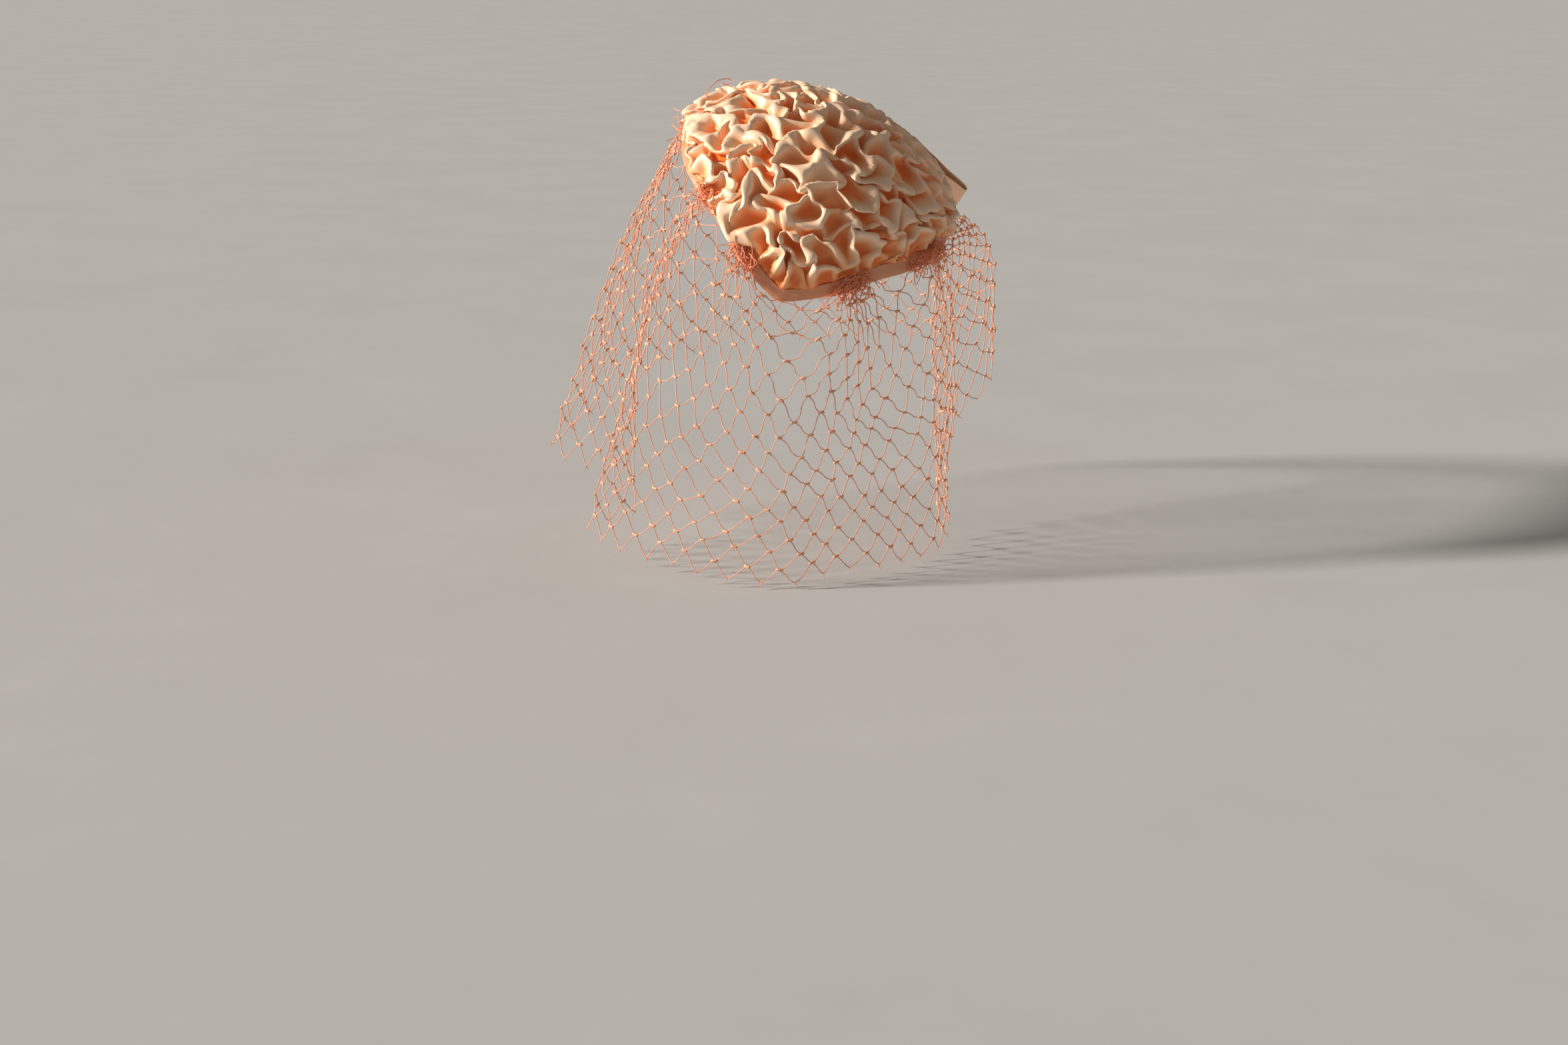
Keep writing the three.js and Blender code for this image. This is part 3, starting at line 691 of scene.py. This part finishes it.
def settle(points, faces, held, scant):
    """The cloth simulation: held points stay, the cloth between them has extra length and
    resists bending, it lies on a block, and a shell outside presses its folds over. Run
    without gravity at twenty times the real size, where the solver is steady."""
    scale = SETTLE_SCALE
    cloth = add_mesh("settling", points, [faces], scale)
    cloth.vertex_groups.new(name="held").add(held.tolist(), 1.0, "REPLACE")
    group = cloth.vertex_groups.new(name="scant")
    for level in range(1, 11):
        members = np.flatnonzero(np.round(10 * scant) == level)
        group.add(members.tolist(), level / 10, "REPLACE")
    made = [cloth]
    inner = (CROWN_WALL, CROWN_WALL, CROWN_WALL + BINDING_CLEARANCE + BINDING_WALL)
    outer = (COVER_HIGHEST, COVER_FRONT_EDGE_HIGHEST, COVER_SIDE_EDGE_HIGHEST)
    for offsets, gap, looks in ((inner, BLOCK_GAP, 1), (outer, SHELL_GAP, -1)):
        shell_points, shell_faces = firm_shell(*offsets)
        shell = add_mesh("shell", shell_points, [rows[:, ::looks] for rows in shell_faces], scale)
        shell.modifiers.new("shell", "COLLISION")
        shell.collision.thickness_outer = gap * scale
        shell.collision.cloth_friction = 5
        made.append(shell)
    modifier = cloth.modifiers.new("settle", "CLOTH")
    set_all(modifier.settings, quality=5, mass=0.15, tension_stiffness=25,
            compression_stiffness=25, shear_stiffness=12, bending_stiffness=CLOTH_BENDING,
            tension_damping=8, compression_damping=8, shear_damping=8, bending_damping=0.5,
            air_damping=2, vertex_group_mass="held", vertex_group_shrink="scant",
            shrink_min=-EXTRA_CLOTH, shrink_max=-EXTRA_CLOTH_AT_EDGE)
    modifier.settings.effector_weights.gravity = 0
    set_all(modifier.collision_settings, distance_min=CLOTH_GAP * scale, collision_quality=2,
            use_self_collision=True, self_distance_min=CLOTH_GAP * scale, self_friction=2)
    set_all(modifier.point_cache, frame_start=1, frame_end=SETTLE_FRAMES)
    for step in range(1, SETTLE_FRAMES + 1):
        bpy.context.scene.frame_set(step)
    settled = cloth.evaluated_get(bpy.context.evaluated_depsgraph_get()).to_mesh()
    result = np.empty(len(settled.vertices) * 3)
    settled.vertices.foreach_get("co", result)
    for item in made:
        bpy.data.meshes.remove(item.data)
    bpy.context.scene.frame_set(1)
    return result.reshape(-1, 3) / scale


def eased_grid(grid):
    """Each point inside the grid moved halfway to the mean of its four neighbours."""
    around = grid[:-2, 1:-1] + grid[2:, 1:-1] + grid[1:-1, :-2] + grid[1:-1, 2:]
    eased = grid.copy()
    eased[1:-1, 1:-1] = 0.5 * grid[1:-1, 1:-1] + 0.125 * around
    return eased


def finer_grid(grid, cells):
    """The same surface on a finer grid, by the even cubic B-spline along both sides."""
    side = len(grid)
    place = np.linspace(0, side - 1, cells + 1)
    row = np.minimum(np.floor(place).astype(int), side - 2)
    t = (place - row)[:, None, None]
    weights = ((1 - t) ** 3, 3 * t ** 3 - 6 * t ** 2 + 4,
               -3 * t ** 3 + 3 * t ** 2 + 3 * t + 1, t ** 3)
    for _ in range(2):
        grid = sum(weight * part for weight, part in zip(weights, four_rows(grid, row))) / 6
        grid = grid.transpose(1, 0, 2)
    return grid.reshape(-1, grid.shape[-1])


def rise_over_crown(points):
    """Height over the crown: the point's length in the ellipsoid's own measure, less one,
    times its distance from the ellipsoid's middle."""
    from_middle = points + [0, 0, CROWN_HEIGHT]
    measure = np.linalg.norm(
        from_middle / [CROWN_HALF_WIDTH, CROWN_HALF_LENGTH, CROWN_HEIGHT], axis=1)
    return (1 - 1 / measure) * np.linalg.norm(from_middle, axis=1)


def ruched_cover():
    """The satin, tacked down between the main folds and round its edge, and settled."""
    turn, share, place = cloth_grid()
    tacks = tack_places()
    points, flat = start_of_ruching(turn, share, place, tacks)
    side = COVER_CELLS + 1
    faces, _ = grid_faces(side, side)
    index = np.arange(side * side).reshape(side, side)
    border = np.unique(np.concatenate([index[0], index[-1], index[:, 0], index[:, -1]]))
    used = tacks[fold_hold(tacks) < TACKS_FREE_ABOVE]
    apart = np.linalg.norm(flat[None] - used[:, None], axis=2)
    tacked = np.unique(apart.argmin(1)[apart.min(1) < TACK_REACH])
    points = points + np.random.default_rng(7).normal(0, CLOTH_NOISE, points.shape)
    points[tacked] = crown_point(turn[tacked], place[tacked], COVER_LOWEST)
    edge_offset = COVER_LOWEST - EDGE_SINKS + EDGE_LIFTS * (1 - band_shows(turn[border]))
    points[border] = crown_point(turn[border], place[border], edge_offset)
    scant = smooth_step((share - SCANT_FROM) / SCANT_EASE) * band_shows(turn)
    points = settle(points, faces, np.concatenate([tacked, border]), scant)
    grid = eased_grid(np.concatenate([points, flat], 1).reshape(side, side, 5))
    fine = finer_grid(grid, COVER_FINE_CELLS)
    points, flat = fine[:, :3], fine[:, 3:]
    faces, _ = grid_faces(COVER_FINE_CELLS + 1, COVER_FINE_CELLS + 1)
    # Painted shade: the satin's colour follows the height over the crown, deep orange in the low
    # pockets and pale on the high crests
    rise = np.clip((rise_over_crown(points) - COVER_LOWEST) / PAINTED_SHADE_SPAN, 0, 1)
    cover = make_piece("ruched_satin_cover", placed(points), [faces], cover_satin,
                       ["ruched_cover"], [flat[faces]], rise)
    thicken(cover, COVER_THICKNESS)
    return cover


# Veil

FOLD_COUNT = len(VEIL_FOLDS["rim"])


def veil_column(name, place):
    """A column of the veil's table between its rows, by a cubic that goes on round."""
    column = np.array(VEIL_FOLDS[name], float)
    row = np.floor(place).astype(int)

    def value(step):
        """The column's value at a row, one lap on for each time the rows run out."""
        lap = step // FOLD_COUNT
        return column[step % FOLD_COUNT] + (lap if name == "rim" else 0)

    return catmull_rom(value(row - 1), value(row), value(row + 1), value(row + 2), place - row)


def hem_point(place):
    """The hem: across, back and down as shares of the veil's reach and drop."""
    shares = [veil_column(name, place) for name in ("across", "back", "drop")]
    return np.stack(shares, -1) * [VEIL_REACH, VEIL_REACH, -VEIL_DROP]


HEM_STEPS = np.arange(20 * FOLD_COUNT + 1) / 20
HEM_LENGTHS = running_length(hem_point(HEM_STEPS))


def hem_place(along):
    """The place in the table that lies a share of the hem's length along it."""
    lap = np.floor(along)
    wanted = (along - lap) * HEM_LENGTHS[-1]
    return lap * FOLD_COUNT + np.interp(wanted, HEM_LENGTHS, HEM_STEPS)


TUFT_TURNS = np.array([row[0] for row in NET_TUFTS.values()])
ZONE_EDGES = np.concatenate([
    [TUFT_TURNS[0] - 0.05], (TUFT_TURNS[1:] + TUFT_TURNS[:-1]) / 2, [TUFT_TURNS[-1] + 0.05]])


def drawn_to_tufts(turn, gather):
    """The rim's turn drawn to the nearest gathered knot: its distance, as a share of the
    knot's zone, is raised to a power that grows with the gather."""
    lapped = turn - np.round(turn)
    zone = np.clip(np.searchsorted(ZONE_EDGES, lapped) - 1, 0, len(TUFT_TURNS) - 1)
    middle = TUFT_TURNS[zone]
    width = np.where(lapped > middle, ZONE_EDGES[zone + 1] - middle, middle - ZONE_EDGES[zone])
    away = np.clip(np.abs(lapped - middle) / width, 0, 1)
    inside = (lapped > ZONE_EDGES[0]) & (lapped < ZONE_EDGES[-1])
    drawn = middle + np.sign(lapped - middle) * width * away ** (1 + 3 * gather)
    return np.where(inside, drawn + np.round(turn), turn), np.where(inside, 1 - away ** 3, 0)


def bezier(start, bend, end, t):
    """The quadratic curve: the squares of one less t and of t weigh its ends, and twice
    their product its bend point."""
    return (1 - t) ** 2 * start + 2 * t * (1 - t) * bend + t ** 2 * end


def veil_point(along, down):
    """The veil: a curve with one bend point from the binding down to the hem, read at a
    share of its length. Near the rim it is drawn to the gathered knots."""
    along, down = np.broadcast_arrays(along, down)
    place = hem_place(along)
    gather = np.exp(-(down / GATHER_DEPTH) ** 1.6)
    turn, in_tuft = drawn_to_tufts(veil_column("rim", place), gather)
    lower_edge = BINDING_CLEARANCE + BINDING_WALL
    below = mix(lower_edge, -BINDING_HEIGHT / 2, in_tuft * gather)
    start = placed(crown_point(turn, 1.0, VEIL_SEAT, below))
    end = hem_point(place)
    lean = veil_column("lean", place)[..., None]
    fall = veil_column("fall", place)[..., None]
    bend = np.concatenate([mix(start[..., :2], end[..., :2], lean),
                           mix(end[..., 2:], start[..., 2:], fall)], -1)
    curve = bezier(start[..., None, :], bend[..., None, :], end[..., None, :],
                   np.linspace(0, 1, VEIL_SAMPLES + 1)[:, None])
    length = running_length(curve)
    wanted = (down * length[..., -1])[..., None]
    step = np.clip(np.sum(length <= wanted, -1) - 1, 0, VEIL_SAMPLES - 1)[..., None]
    before = np.take_along_axis(length, step, -1)
    after = np.take_along_axis(length, step + 1, -1)
    return bezier(start, bend, end, (step + (wanted - before) / (after - before)) / VEIL_SAMPLES)


def veil_normal(along, down):
    """Square to the veil: the cross product of small steps down it and along it."""
    ahead = veil_point(along + SMALL_STEP, down) - veil_point(along - SMALL_STEP, down)
    lower = veil_point(along, np.minimum(down + SMALL_STEP, 1))
    return unit(np.cross(lower - veil_point(along, np.maximum(down - SMALL_STEP, 0)), ahead))


def row_places():
    """The net's rows as shares of its depth. A cell's sides keep their length, so a row is
    as high as the root of the side squared less the square of half a column's width."""
    row = np.arange(NET_ROWS)
    wide = HEM_LENGTHS[-1] / NET_COLUMNS
    width = mix(CELL_WIDTH_AT_RIM, wide, ((row + 1) / NET_ROWS) ** 0.8)
    height = np.sqrt(CELL_SIDE ** 2 - (width / 2) ** 2)
    return np.concatenate([[0], np.cumsum(height)]) / np.sum(height)


def twisted(along, down):
    """Places in the veil turned about a few points of it, by an angle that fades with the
    square of the distance."""
    width, depth = HEM_LENGTHS[-1] * TWISTS_ACROSS, TWISTS_DOWN * VEIL_DROP
    for middle, level, degrees, radius in NET_TWISTS:
        x, y = (along - middle) * width, (down - level) * depth
        angle = math.radians(degrees) * np.exp(-(x ** 2 + y ** 2) / radius ** 2)
        angle = angle * np.minimum(1, np.minimum(down, 1 - down) / TWISTS_EASE)
        c, s = np.cos(angle), np.sin(angle)
        along = middle + (x * c - y * s) / width
        down = level + (x * s + y * c) / depth
    return along, down


def net_knots():
    """The net's knots by row and column of the veil, drawn together over the face, turned
    askew in places, then each moved a little in the cloth and more out of it, in slow waves
    that grow towards the hem."""
    row, column = np.meshgrid(np.arange(NET_ROWS + 1), np.arange(NET_COLUMNS), indexing="ij")
    half = 2 * (column + NET_START) + (NET_ROWS - row) % 2
    seed = row * 2 * NET_COLUMNS + 2 * column
    free = np.sin(math.pi * np.clip(row / NET_ROWS, 0, 1)) ** 0.5
    level = row_places()[row]
    along = half / (2 * NET_COLUMNS)
    narrower = FACE_NARROWER * smooth_step((1 - level) / FACE_EASE)
    off_face = along - FACE_MIDDLE
    along = along - narrower * off_face * np.exp(-(off_face / FACE_REACH) ** 2)
    along, down = twisted(along, level)
    along = along + free * KNOT_SHIFT_ALONG * scatter(seed, 1) / (2 * NET_COLUMNS)
    down = down + free * KNOT_SHIFT_DOWN * scatter(seed, 2) / NET_ROWS
    points = veil_point(along, np.clip(down, 0, 1))
    wave = (1.6 * np.sin(FULL_TURN * (9 * along + 0.4 * down))
            + 1.1 * np.sin(FULL_TURN * (17 * along - 0.8 * down) + 1.7))
    depth = (wave + 0.8 * scatter(seed, 3)) * smooth_step(down / 0.5)
    return points + depth[..., None] * veil_normal(along, np.clip(down, 0, 1)), along, down


KNOTS, KNOT_ALONG, KNOT_DOWN = net_knots()


def net_strands():
    """The threads between neighbouring knots: lines whose sideways part follows a cube,
    quick at both knots and slow between, so that cells near the rim are long and round,
    plus a small bow of their own."""
    steps = 0.5 - 0.5 * np.cos(math.pi * np.linspace(0, 1, 9))
    paths = []
    for way in (-1, 1):
        row, column = np.meshgrid(np.arange(NET_ROWS), np.arange(NET_COLUMNS), indexing="ij")
        half = 2 * column + (NET_ROWS - row) % 2 + way
        below = np.floor_divide(half - (NET_ROWS - row - 1) % 2, 2) % NET_COLUMNS
        start = KNOTS[row, column].reshape(-1, 1, 3)
        end = KNOTS[row + 1, below].reshape(-1, 1, 3)
        ease = mix(0.95, 0.3, smooth_step(row / NET_ROWS / 0.9)).reshape(-1, 1)
        eased = mix(steps[None], 0.5 + 0.5 * (2 * steps[None] - 1) ** 3, ease)[..., None]
        even = steps[None, :, None]
        reach = end - start
        level = reach * [1, 1, 0]
        seed = (row * NET_COLUMNS + column).reshape(-1, 1, 1) + 5000 * (way > 0)
        sideways = unit(np.cross(reach, [0.3, 0.2, 1]))
        bow = THREAD_BOW * np.linalg.norm(reach, axis=-1, keepdims=True) * scatter(seed, 4)
        sag = THREAD_SAG * np.linalg.norm(level, axis=-1, keepdims=True) * [0, 0, -1]
        arch = np.sin(math.pi * even)
        paths.append(start + level * eased + reach * [0, 0, 1] * even
                     + arch * (bow * sideways + sag))
    return np.concatenate(paths)


def veil_knots():
    """A bow-tie knot at each crossing below the rim, across the cloth: a round profile, its
    radius the root of one less the square of the place along it, pinched in the middle."""
    row, column = np.meshgrid(np.arange(1, NET_ROWS), np.arange(NET_COLUMNS), indexing="ij")
    along, down = KNOT_ALONG[row, column].ravel(), KNOT_DOWN[row, column].ravel()
    ahead = unit(veil_point(along + SMALL_STEP, down) - veil_point(along - SMALL_STEP, down))
    seed = np.arange(len(along))
    ahead = unit(ahead + 0.25 * np.stack([scatter(seed, k) for k in (6, 7, 8)], -1))
    size = (1 + 0.15 * scatter(seed, 9))[:, None]
    place = np.sin(np.linspace(-math.pi / 2, math.pi / 2, 7))
    pinch = 1 - KNOT_PINCH * np.exp(-(place / 0.3) ** 2)
    radius = KNOT_RADIUS * np.sqrt(np.maximum(1 - place ** 2, 0.02)) * pinch
    reach = (place * KNOT_LENGTH / 2)[None, :, None]
    middles = KNOTS[row, column].reshape(-1, 1, 3)
    paths = middles + ahead[:, None] * reach * size[..., None]
    thread_piece("veil_net_knots", paths, radius[None] * size, 6, knot_thread)


def hem_frays():
    """The cut ends under each hem point: three short threads that splay down and out."""
    tips = np.repeat(KNOTS[NET_ROWS], FRAYS_PER_TIP, axis=0)
    seed = np.arange(len(tips))
    downwards = -0.8 - 0.4 * np.abs(scatter(seed, 13))
    splay = np.stack([scatter(seed, 11), scatter(seed, 12), downwards], -1)
    length = FRAY_LENGTH + FRAY_LENGTH_SPREAD * scatter(seed, 14)
    steps = np.linspace(0, 1, 5)[None, :, None]
    curl = 0.7 * np.stack([scatter(seed, 15), scatter(seed, 16), np.zeros(len(seed))], -1)
    straight = (splay * length[:, None])[:, None] * steps
    paths = tips[:, None] + straight + curl[:, None] * steps ** 2
    taper = np.linspace(FRAY_RADIUS, FRAY_END_RADIUS, 5)[None]
    thread_piece("veil_hem_frays", paths, taper, 4, veil_thread)


# Gathered knots of net

def tuft_curls(name, turn, size, fullness, length, trail):
    """A tangle on the band. Each thread wanders round a flattened heap as a sum of two
    turning loops, and some swing out into a wide loop. The heap follows the rim: a length
    along it is a turn, by the rim's length in one turn."""
    rim_length = np.linalg.norm(crown_point(turn + TINY_STEP, 1.0, VEIL_SEAT)
                                - crown_point(turn - TINY_STEP, 1.0, VEIL_SEAT)) / (2 * TINY_STEP)
    half = np.array([TUFT_WIDTH * size / 2, TUFT_HALF_HEIGHT * size, TUFT_HALF_DEPTH])
    seed = np.arange(int(TUFT_THREADS * fullness)) + 1000 * round(100 * abs(turn))
    steps = np.linspace(0, 1, 34)[None, :]

    def draw(kind, centre=0.0, spread=1.0):
        """A scattered amount for each thread, round a centre."""
        return (centre + spread * scatter(seed, kind))[:, None]

    def directions(*parts):
        """Amounts along, up and out, put together as places."""
        return np.stack(np.broadcast_arrays(*parts), -1)

    angle = FULL_TURN * (draw(21) + draw(22, 0.8, 0.4) * steps)
    second = FULL_TURN * (draw(23) + draw(24, 1.4, 0.8) * steps)
    heap = directions(draw(25) * 0.7 * length, draw(26) * 0.62, draw(27) * 0.5)
    loop = directions(draw(28, 0.26, 0.12) * np.cos(angle) + 0.14 * np.cos(second),
                      draw(29, 0.4, 0.2) * np.sin(angle) + 0.2 * np.sin(second + 1),
                      0.5 * np.sin(angle + 3 * draw(30)) + 0.3 * np.cos(second))
    local = (heap + loop) * half
    swing = smooth_step((draw(31) - 0.1) / 0.6) * np.sin(math.pi * steps) ** 2
    away = directions(draw(32), draw(33, -0.3, 0.9), draw(34, 0.35, 0.3))
    local = local + swing[..., None] * TUFT_LOOP_REACH * size * away
    ends = smooth_step((draw(35) - 0.3) / 0.5) * smooth_step((steps - 0.72) / 0.28)
    splay = directions(draw(36), draw(37, -0.5, 0.7), draw(38, 0.4, 0.3))
    local = local + ends[..., None] * TUFT_END_REACH * size * splay
    paths = placed(crown_point(
        turn + (local[..., 0] + trail) / rim_length, 1.0,
        VEIL_SEAT + TUFT_LIFT + np.maximum(local[..., 2], TUFT_FLOOR),
        -BINDING_HEIGHT / 2 - local[..., 1]))
    thread_piece("net_curls_" + name, paths, TUFT_THREAD_RADIUS, 4, tuft_thread,
                 ["net_tuft_" + name])


# Turns, shares and offsets along the stray threads
LOOSE_ENDS = [
    [(-0.3, 0.84, 8), (-0.29, 0.8, 11.5), (-0.305, 0.775, 13), (-0.33, 0.8, 13.5),
     (-0.35, 0.81, 13.5), (-0.365, 0.85, 13), (-0.362, 0.88, 12), (-0.345, 0.84, 12),
     (-0.335, 0.79, 10), (-0.33, 0.76, 8)],
    [(-0.235, 0.93, 8), (-0.24, 0.92, 11), (-0.246, 0.925, 13), (-0.25, 0.95, 14),
     (-0.256, 0.965, 14.5)],
    [(-0.2, 0.96, 7), (-0.206, 0.97, 10), (-0.2, 1.0, 13), (-0.197, 1.01, 14)],
]


def loose_ends():
    """Stray threads that stand off the satin: cubics through a few places on the crown."""
    paths = []
    for rows in LOOSE_ENDS:
        turn, share, offset = np.array(rows).T
        knots = placed(crown_point(turn, share, offset))
        place = np.linspace(0, len(rows) - 1, 48)
        row = np.minimum(np.floor(place).astype(int), len(rows) - 2)
        paths.append(catmull_rom(*four_rows(knots, row), (place - row)[:, None]))
    thread_piece("veil_loose_ends", np.array(paths), LOOSE_RADIUS, 5, veil_thread)


# Bow

BOW_SEAT = (BOW_TURN, BOW_PLACE, CROWN_WALL + BOW_LIFT)
BOW_MIDDLE, BOW_AXES = crown_point(*BOW_SEAT), crown_frame(*BOW_SEAT)


def bow_loop(name, side, node):
    """A loop of ribbon: a flattened path out and back, swept across the ribbon's width,
    pinched and creased at the knot, with soft waves at its free end."""
    start = BOW_KNOT_WIDTH / 2 + BOW_CLEARANCE
    radius = BOW_LOOP_DEPTH / 2
    run = BOW_LOOP_LENGTH - BOW_LOOP_DEPTH
    straight, curve = 26, 12
    out = np.linspace(0, 1, straight)
    bend = np.linspace(-math.pi / 2, math.pi / 2, curve + 2)[1:-1]
    path_x = np.concatenate([
        start + radius + run * out, start + radius + run + radius * np.cos(bend),
        start + radius + run * (1 - out), start + radius - radius * np.cos(bend)])
    path_y = np.concatenate([np.zeros(straight), radius + radius * np.sin(bend),
                             np.full(straight, 2 * radius), radius - radius * np.sin(bend)])
    spread = smooth_step((path_x - start) / BOW_LOOP_LENGTH)
    path_y = radius + (path_y - radius) * mix(1, BOW_END_FLATNESS, spread)
    path_x, path_y, spread = path_x[:, None], path_y[:, None], spread[:, None]
    edge = np.linspace(-1, 1, 33)[None]
    x = path_x + edge * 0.12 * BOW_RIBBON_WIDTH * spread
    y = edge * mix(BOW_PINCHED_WIDTH, BOW_RIBBON_WIDTH, spread) / 2 - BOW_DROOP * (path_x - start)
    crease = np.cos(FULL_TURN * (2.2 * edge + 0.35 * np.sin(2 * edge))) * (1 - spread) ** 1.2
    wave = 0.35 * np.sin(FULL_TURN * (0.8 * edge + 1.4 * spread)) * spread
    turned_in = 0.8 * smooth_step((np.abs(edge) - 0.93) / 0.07)
    lift = path_y + 0.55 * crease + wave + (radius - path_y) * turned_in * 0.12
    points = np.stack([side * x, y, lift], -1)
    quads, corners = grid_faces(len(path_x), edge.size, closed_u=True)
    if side < 0:
        quads, corners = quads[:, ::-1], corners[:, ::-1]
    points = placed(BOW_MIDDLE + points.reshape(-1, 3) @ BOW_AXES)
    # Painted shade and light: the colour goes darker in the troughs of the creases, lighter on
    # their ridges and on the edges towards the free end
    rise = np.clip(0.55 + 0.3 * crease + 0.25 * np.abs(edge) * spread, 0, 1).ravel()
    piece = make_piece(name, points, [quads], bow_satin, [node],
                       [corners * (1.1, 0.7)], rise)
    thicken(piece, RIBBON_THICKNESS)
    rounding = piece.modifiers.new("rounding", "SUBSURF")
    rounding.levels = rounding.render_levels = 1


def bow_knot():
    """A wrapped ribbon: a rounded box section swept across, swelling between its creases."""
    depth = BOW_LOOP_DEPTH
    rings, steps = 41, 64
    angle = FULL_TURN * np.arange(steps) / steps
    cosine, sine = np.cos(angle), np.sin(angle)
    box_x = np.sign(cosine) * np.abs(cosine) ** 0.55 * BOW_PINCHED_WIDTH / 2
    box_y = depth / 2 + np.sign(sine) * np.abs(sine) ** 0.55 * depth / 2
    across = np.linspace(-1, 1, rings)
    swell = 1 + 0.07 * np.cos(FULL_TURN * (2.1 * across + 0.3 * np.sin(3 * across)))
    swell = swell * (1 - 0.16 * smooth_step((np.abs(across) - 0.8) / 0.2))
    body = np.stack([
        np.broadcast_to((across * BOW_KNOT_WIDTH / 2)[:, None], (rings, steps)),
        box_x[None] * swell[:, None],
        depth / 2 + (box_y[None] - depth / 2) * swell[:, None]], -1)
    quads, caps, corners = capped_grid(rings, steps)
    ends = np.array([[-BOW_KNOT_WIDTH / 2, 0, depth / 2], [BOW_KNOT_WIDTH / 2, 0, depth / 2]])
    points = placed(BOW_MIDDLE + np.concatenate([body.reshape(-1, 3), ends]) @ BOW_AXES)
    uv = [corners * (0.3, 0.6), np.zeros((len(caps), 3, 2))]
    # Painted shade: the colour goes darker in the creases between the swells and at the drawn-in
    # ends, lighter on the swells
    rise = np.concatenate([np.repeat((swell - 0.84) / 0.23, steps), [0.3, 0.3]])
    make_piece("bow_wrapped_knot", points, [quads[:, ::-1], caps[:, ::-1]], bow_satin,
               ["bow_knot"], uv, rise)


crown_foundation()
edge_binding()
cover = ruched_cover()
thread_piece("veil_net", net_strands(), THREAD_RADIUS, 5, veil_thread, ["veil"])
veil_knots()
hem_frays()
loose_ends()
for tuft_name, tuft_row in NET_TUFTS.items():
    tuft_curls(tuft_name, *tuft_row)
bow_loop("bow_satin_loop_left", -1, "bow_loop_left")
bow_loop("bow_satin_loop_right", 1, "bow_loop_right")
bow_knot()


# Stage: floor, lights and camera

def pale_floor():
    """A wide flat disc just under the hem."""
    steps, radius = 96, 16000
    angle = FULL_TURN * np.arange(steps) / steps
    level = cad_box[0].z / MM - 3
    ring = np.stack([radius * np.cos(angle), radius * np.sin(angle), np.full(steps, level)], -1)
    floor = add_mesh("floor", ring, [np.arange(steps)[None]])
    material, shader, node = new_material("pale_floor")
    grain = noise(node, node("TexCoord")["Object"], 9, 5)
    shade = colour_ramp(node, grain, (0.3, (0.5, 0.5, 0.495)), (0.7, (0.53, 0.53, 0.525)))
    wire(shader, Base_Color=shade, Roughness=0.85)
    floor.data.materials.append(material)


def add_lamp(name, kind, place, turn, **settings):
    """A lamp at a place, turned by a quaternion."""
    light = bpy.data.lights.new(name, kind)
    set_all(light, **settings)
    lamp = add_object(name, light)
    lamp.location = place
    lamp.rotation_euler = turn.to_euler()


pale_floor()

# A wide soft sun from the side, and a weak soft box across from it
KEY_DIRECTION = Vector((-1.4, -0.2, 0.6))
add_lamp("key", "SUN", (0, 0, 0), KEY_DIRECTION.to_track_quat("Z", "Y"),
         angle=math.radians(6), energy=5.6, color=(1, 0.94, 0.86))
FILL_PLACE = Vector((1.2, -1.1, 0.5))
FILL_AIM = Vector((0, 0, -0.05))
add_lamp("fill", "AREA", FILL_PLACE, (FILL_AIM - FILL_PLACE).to_track_quat("-Z", "Y"),
         size=1.4, energy=1, color=(1, 0.9, 0.8))

world = bpy.data.worlds.new("studio")
world.use_nodes = True
wire(world.node_tree.nodes["Background"], Color=(0.85, 0.8, 0.75, 1), Strength=0.21)
bpy.context.scene.world = world
bpy.context.scene.view_settings.view_transform = "Standard"

camera = add_object("camera", bpy.data.cameras.new("camera"))
set_all(camera.data, lens=50, sensor_width=36, clip_end=60)
camera.location = (-0.0235, -1.0024, 0.0871)
camera.rotation_euler = (math.radians(75), 0, 0)
bpy.context.scene.camera = camera

bpy.context.view_layer.update()
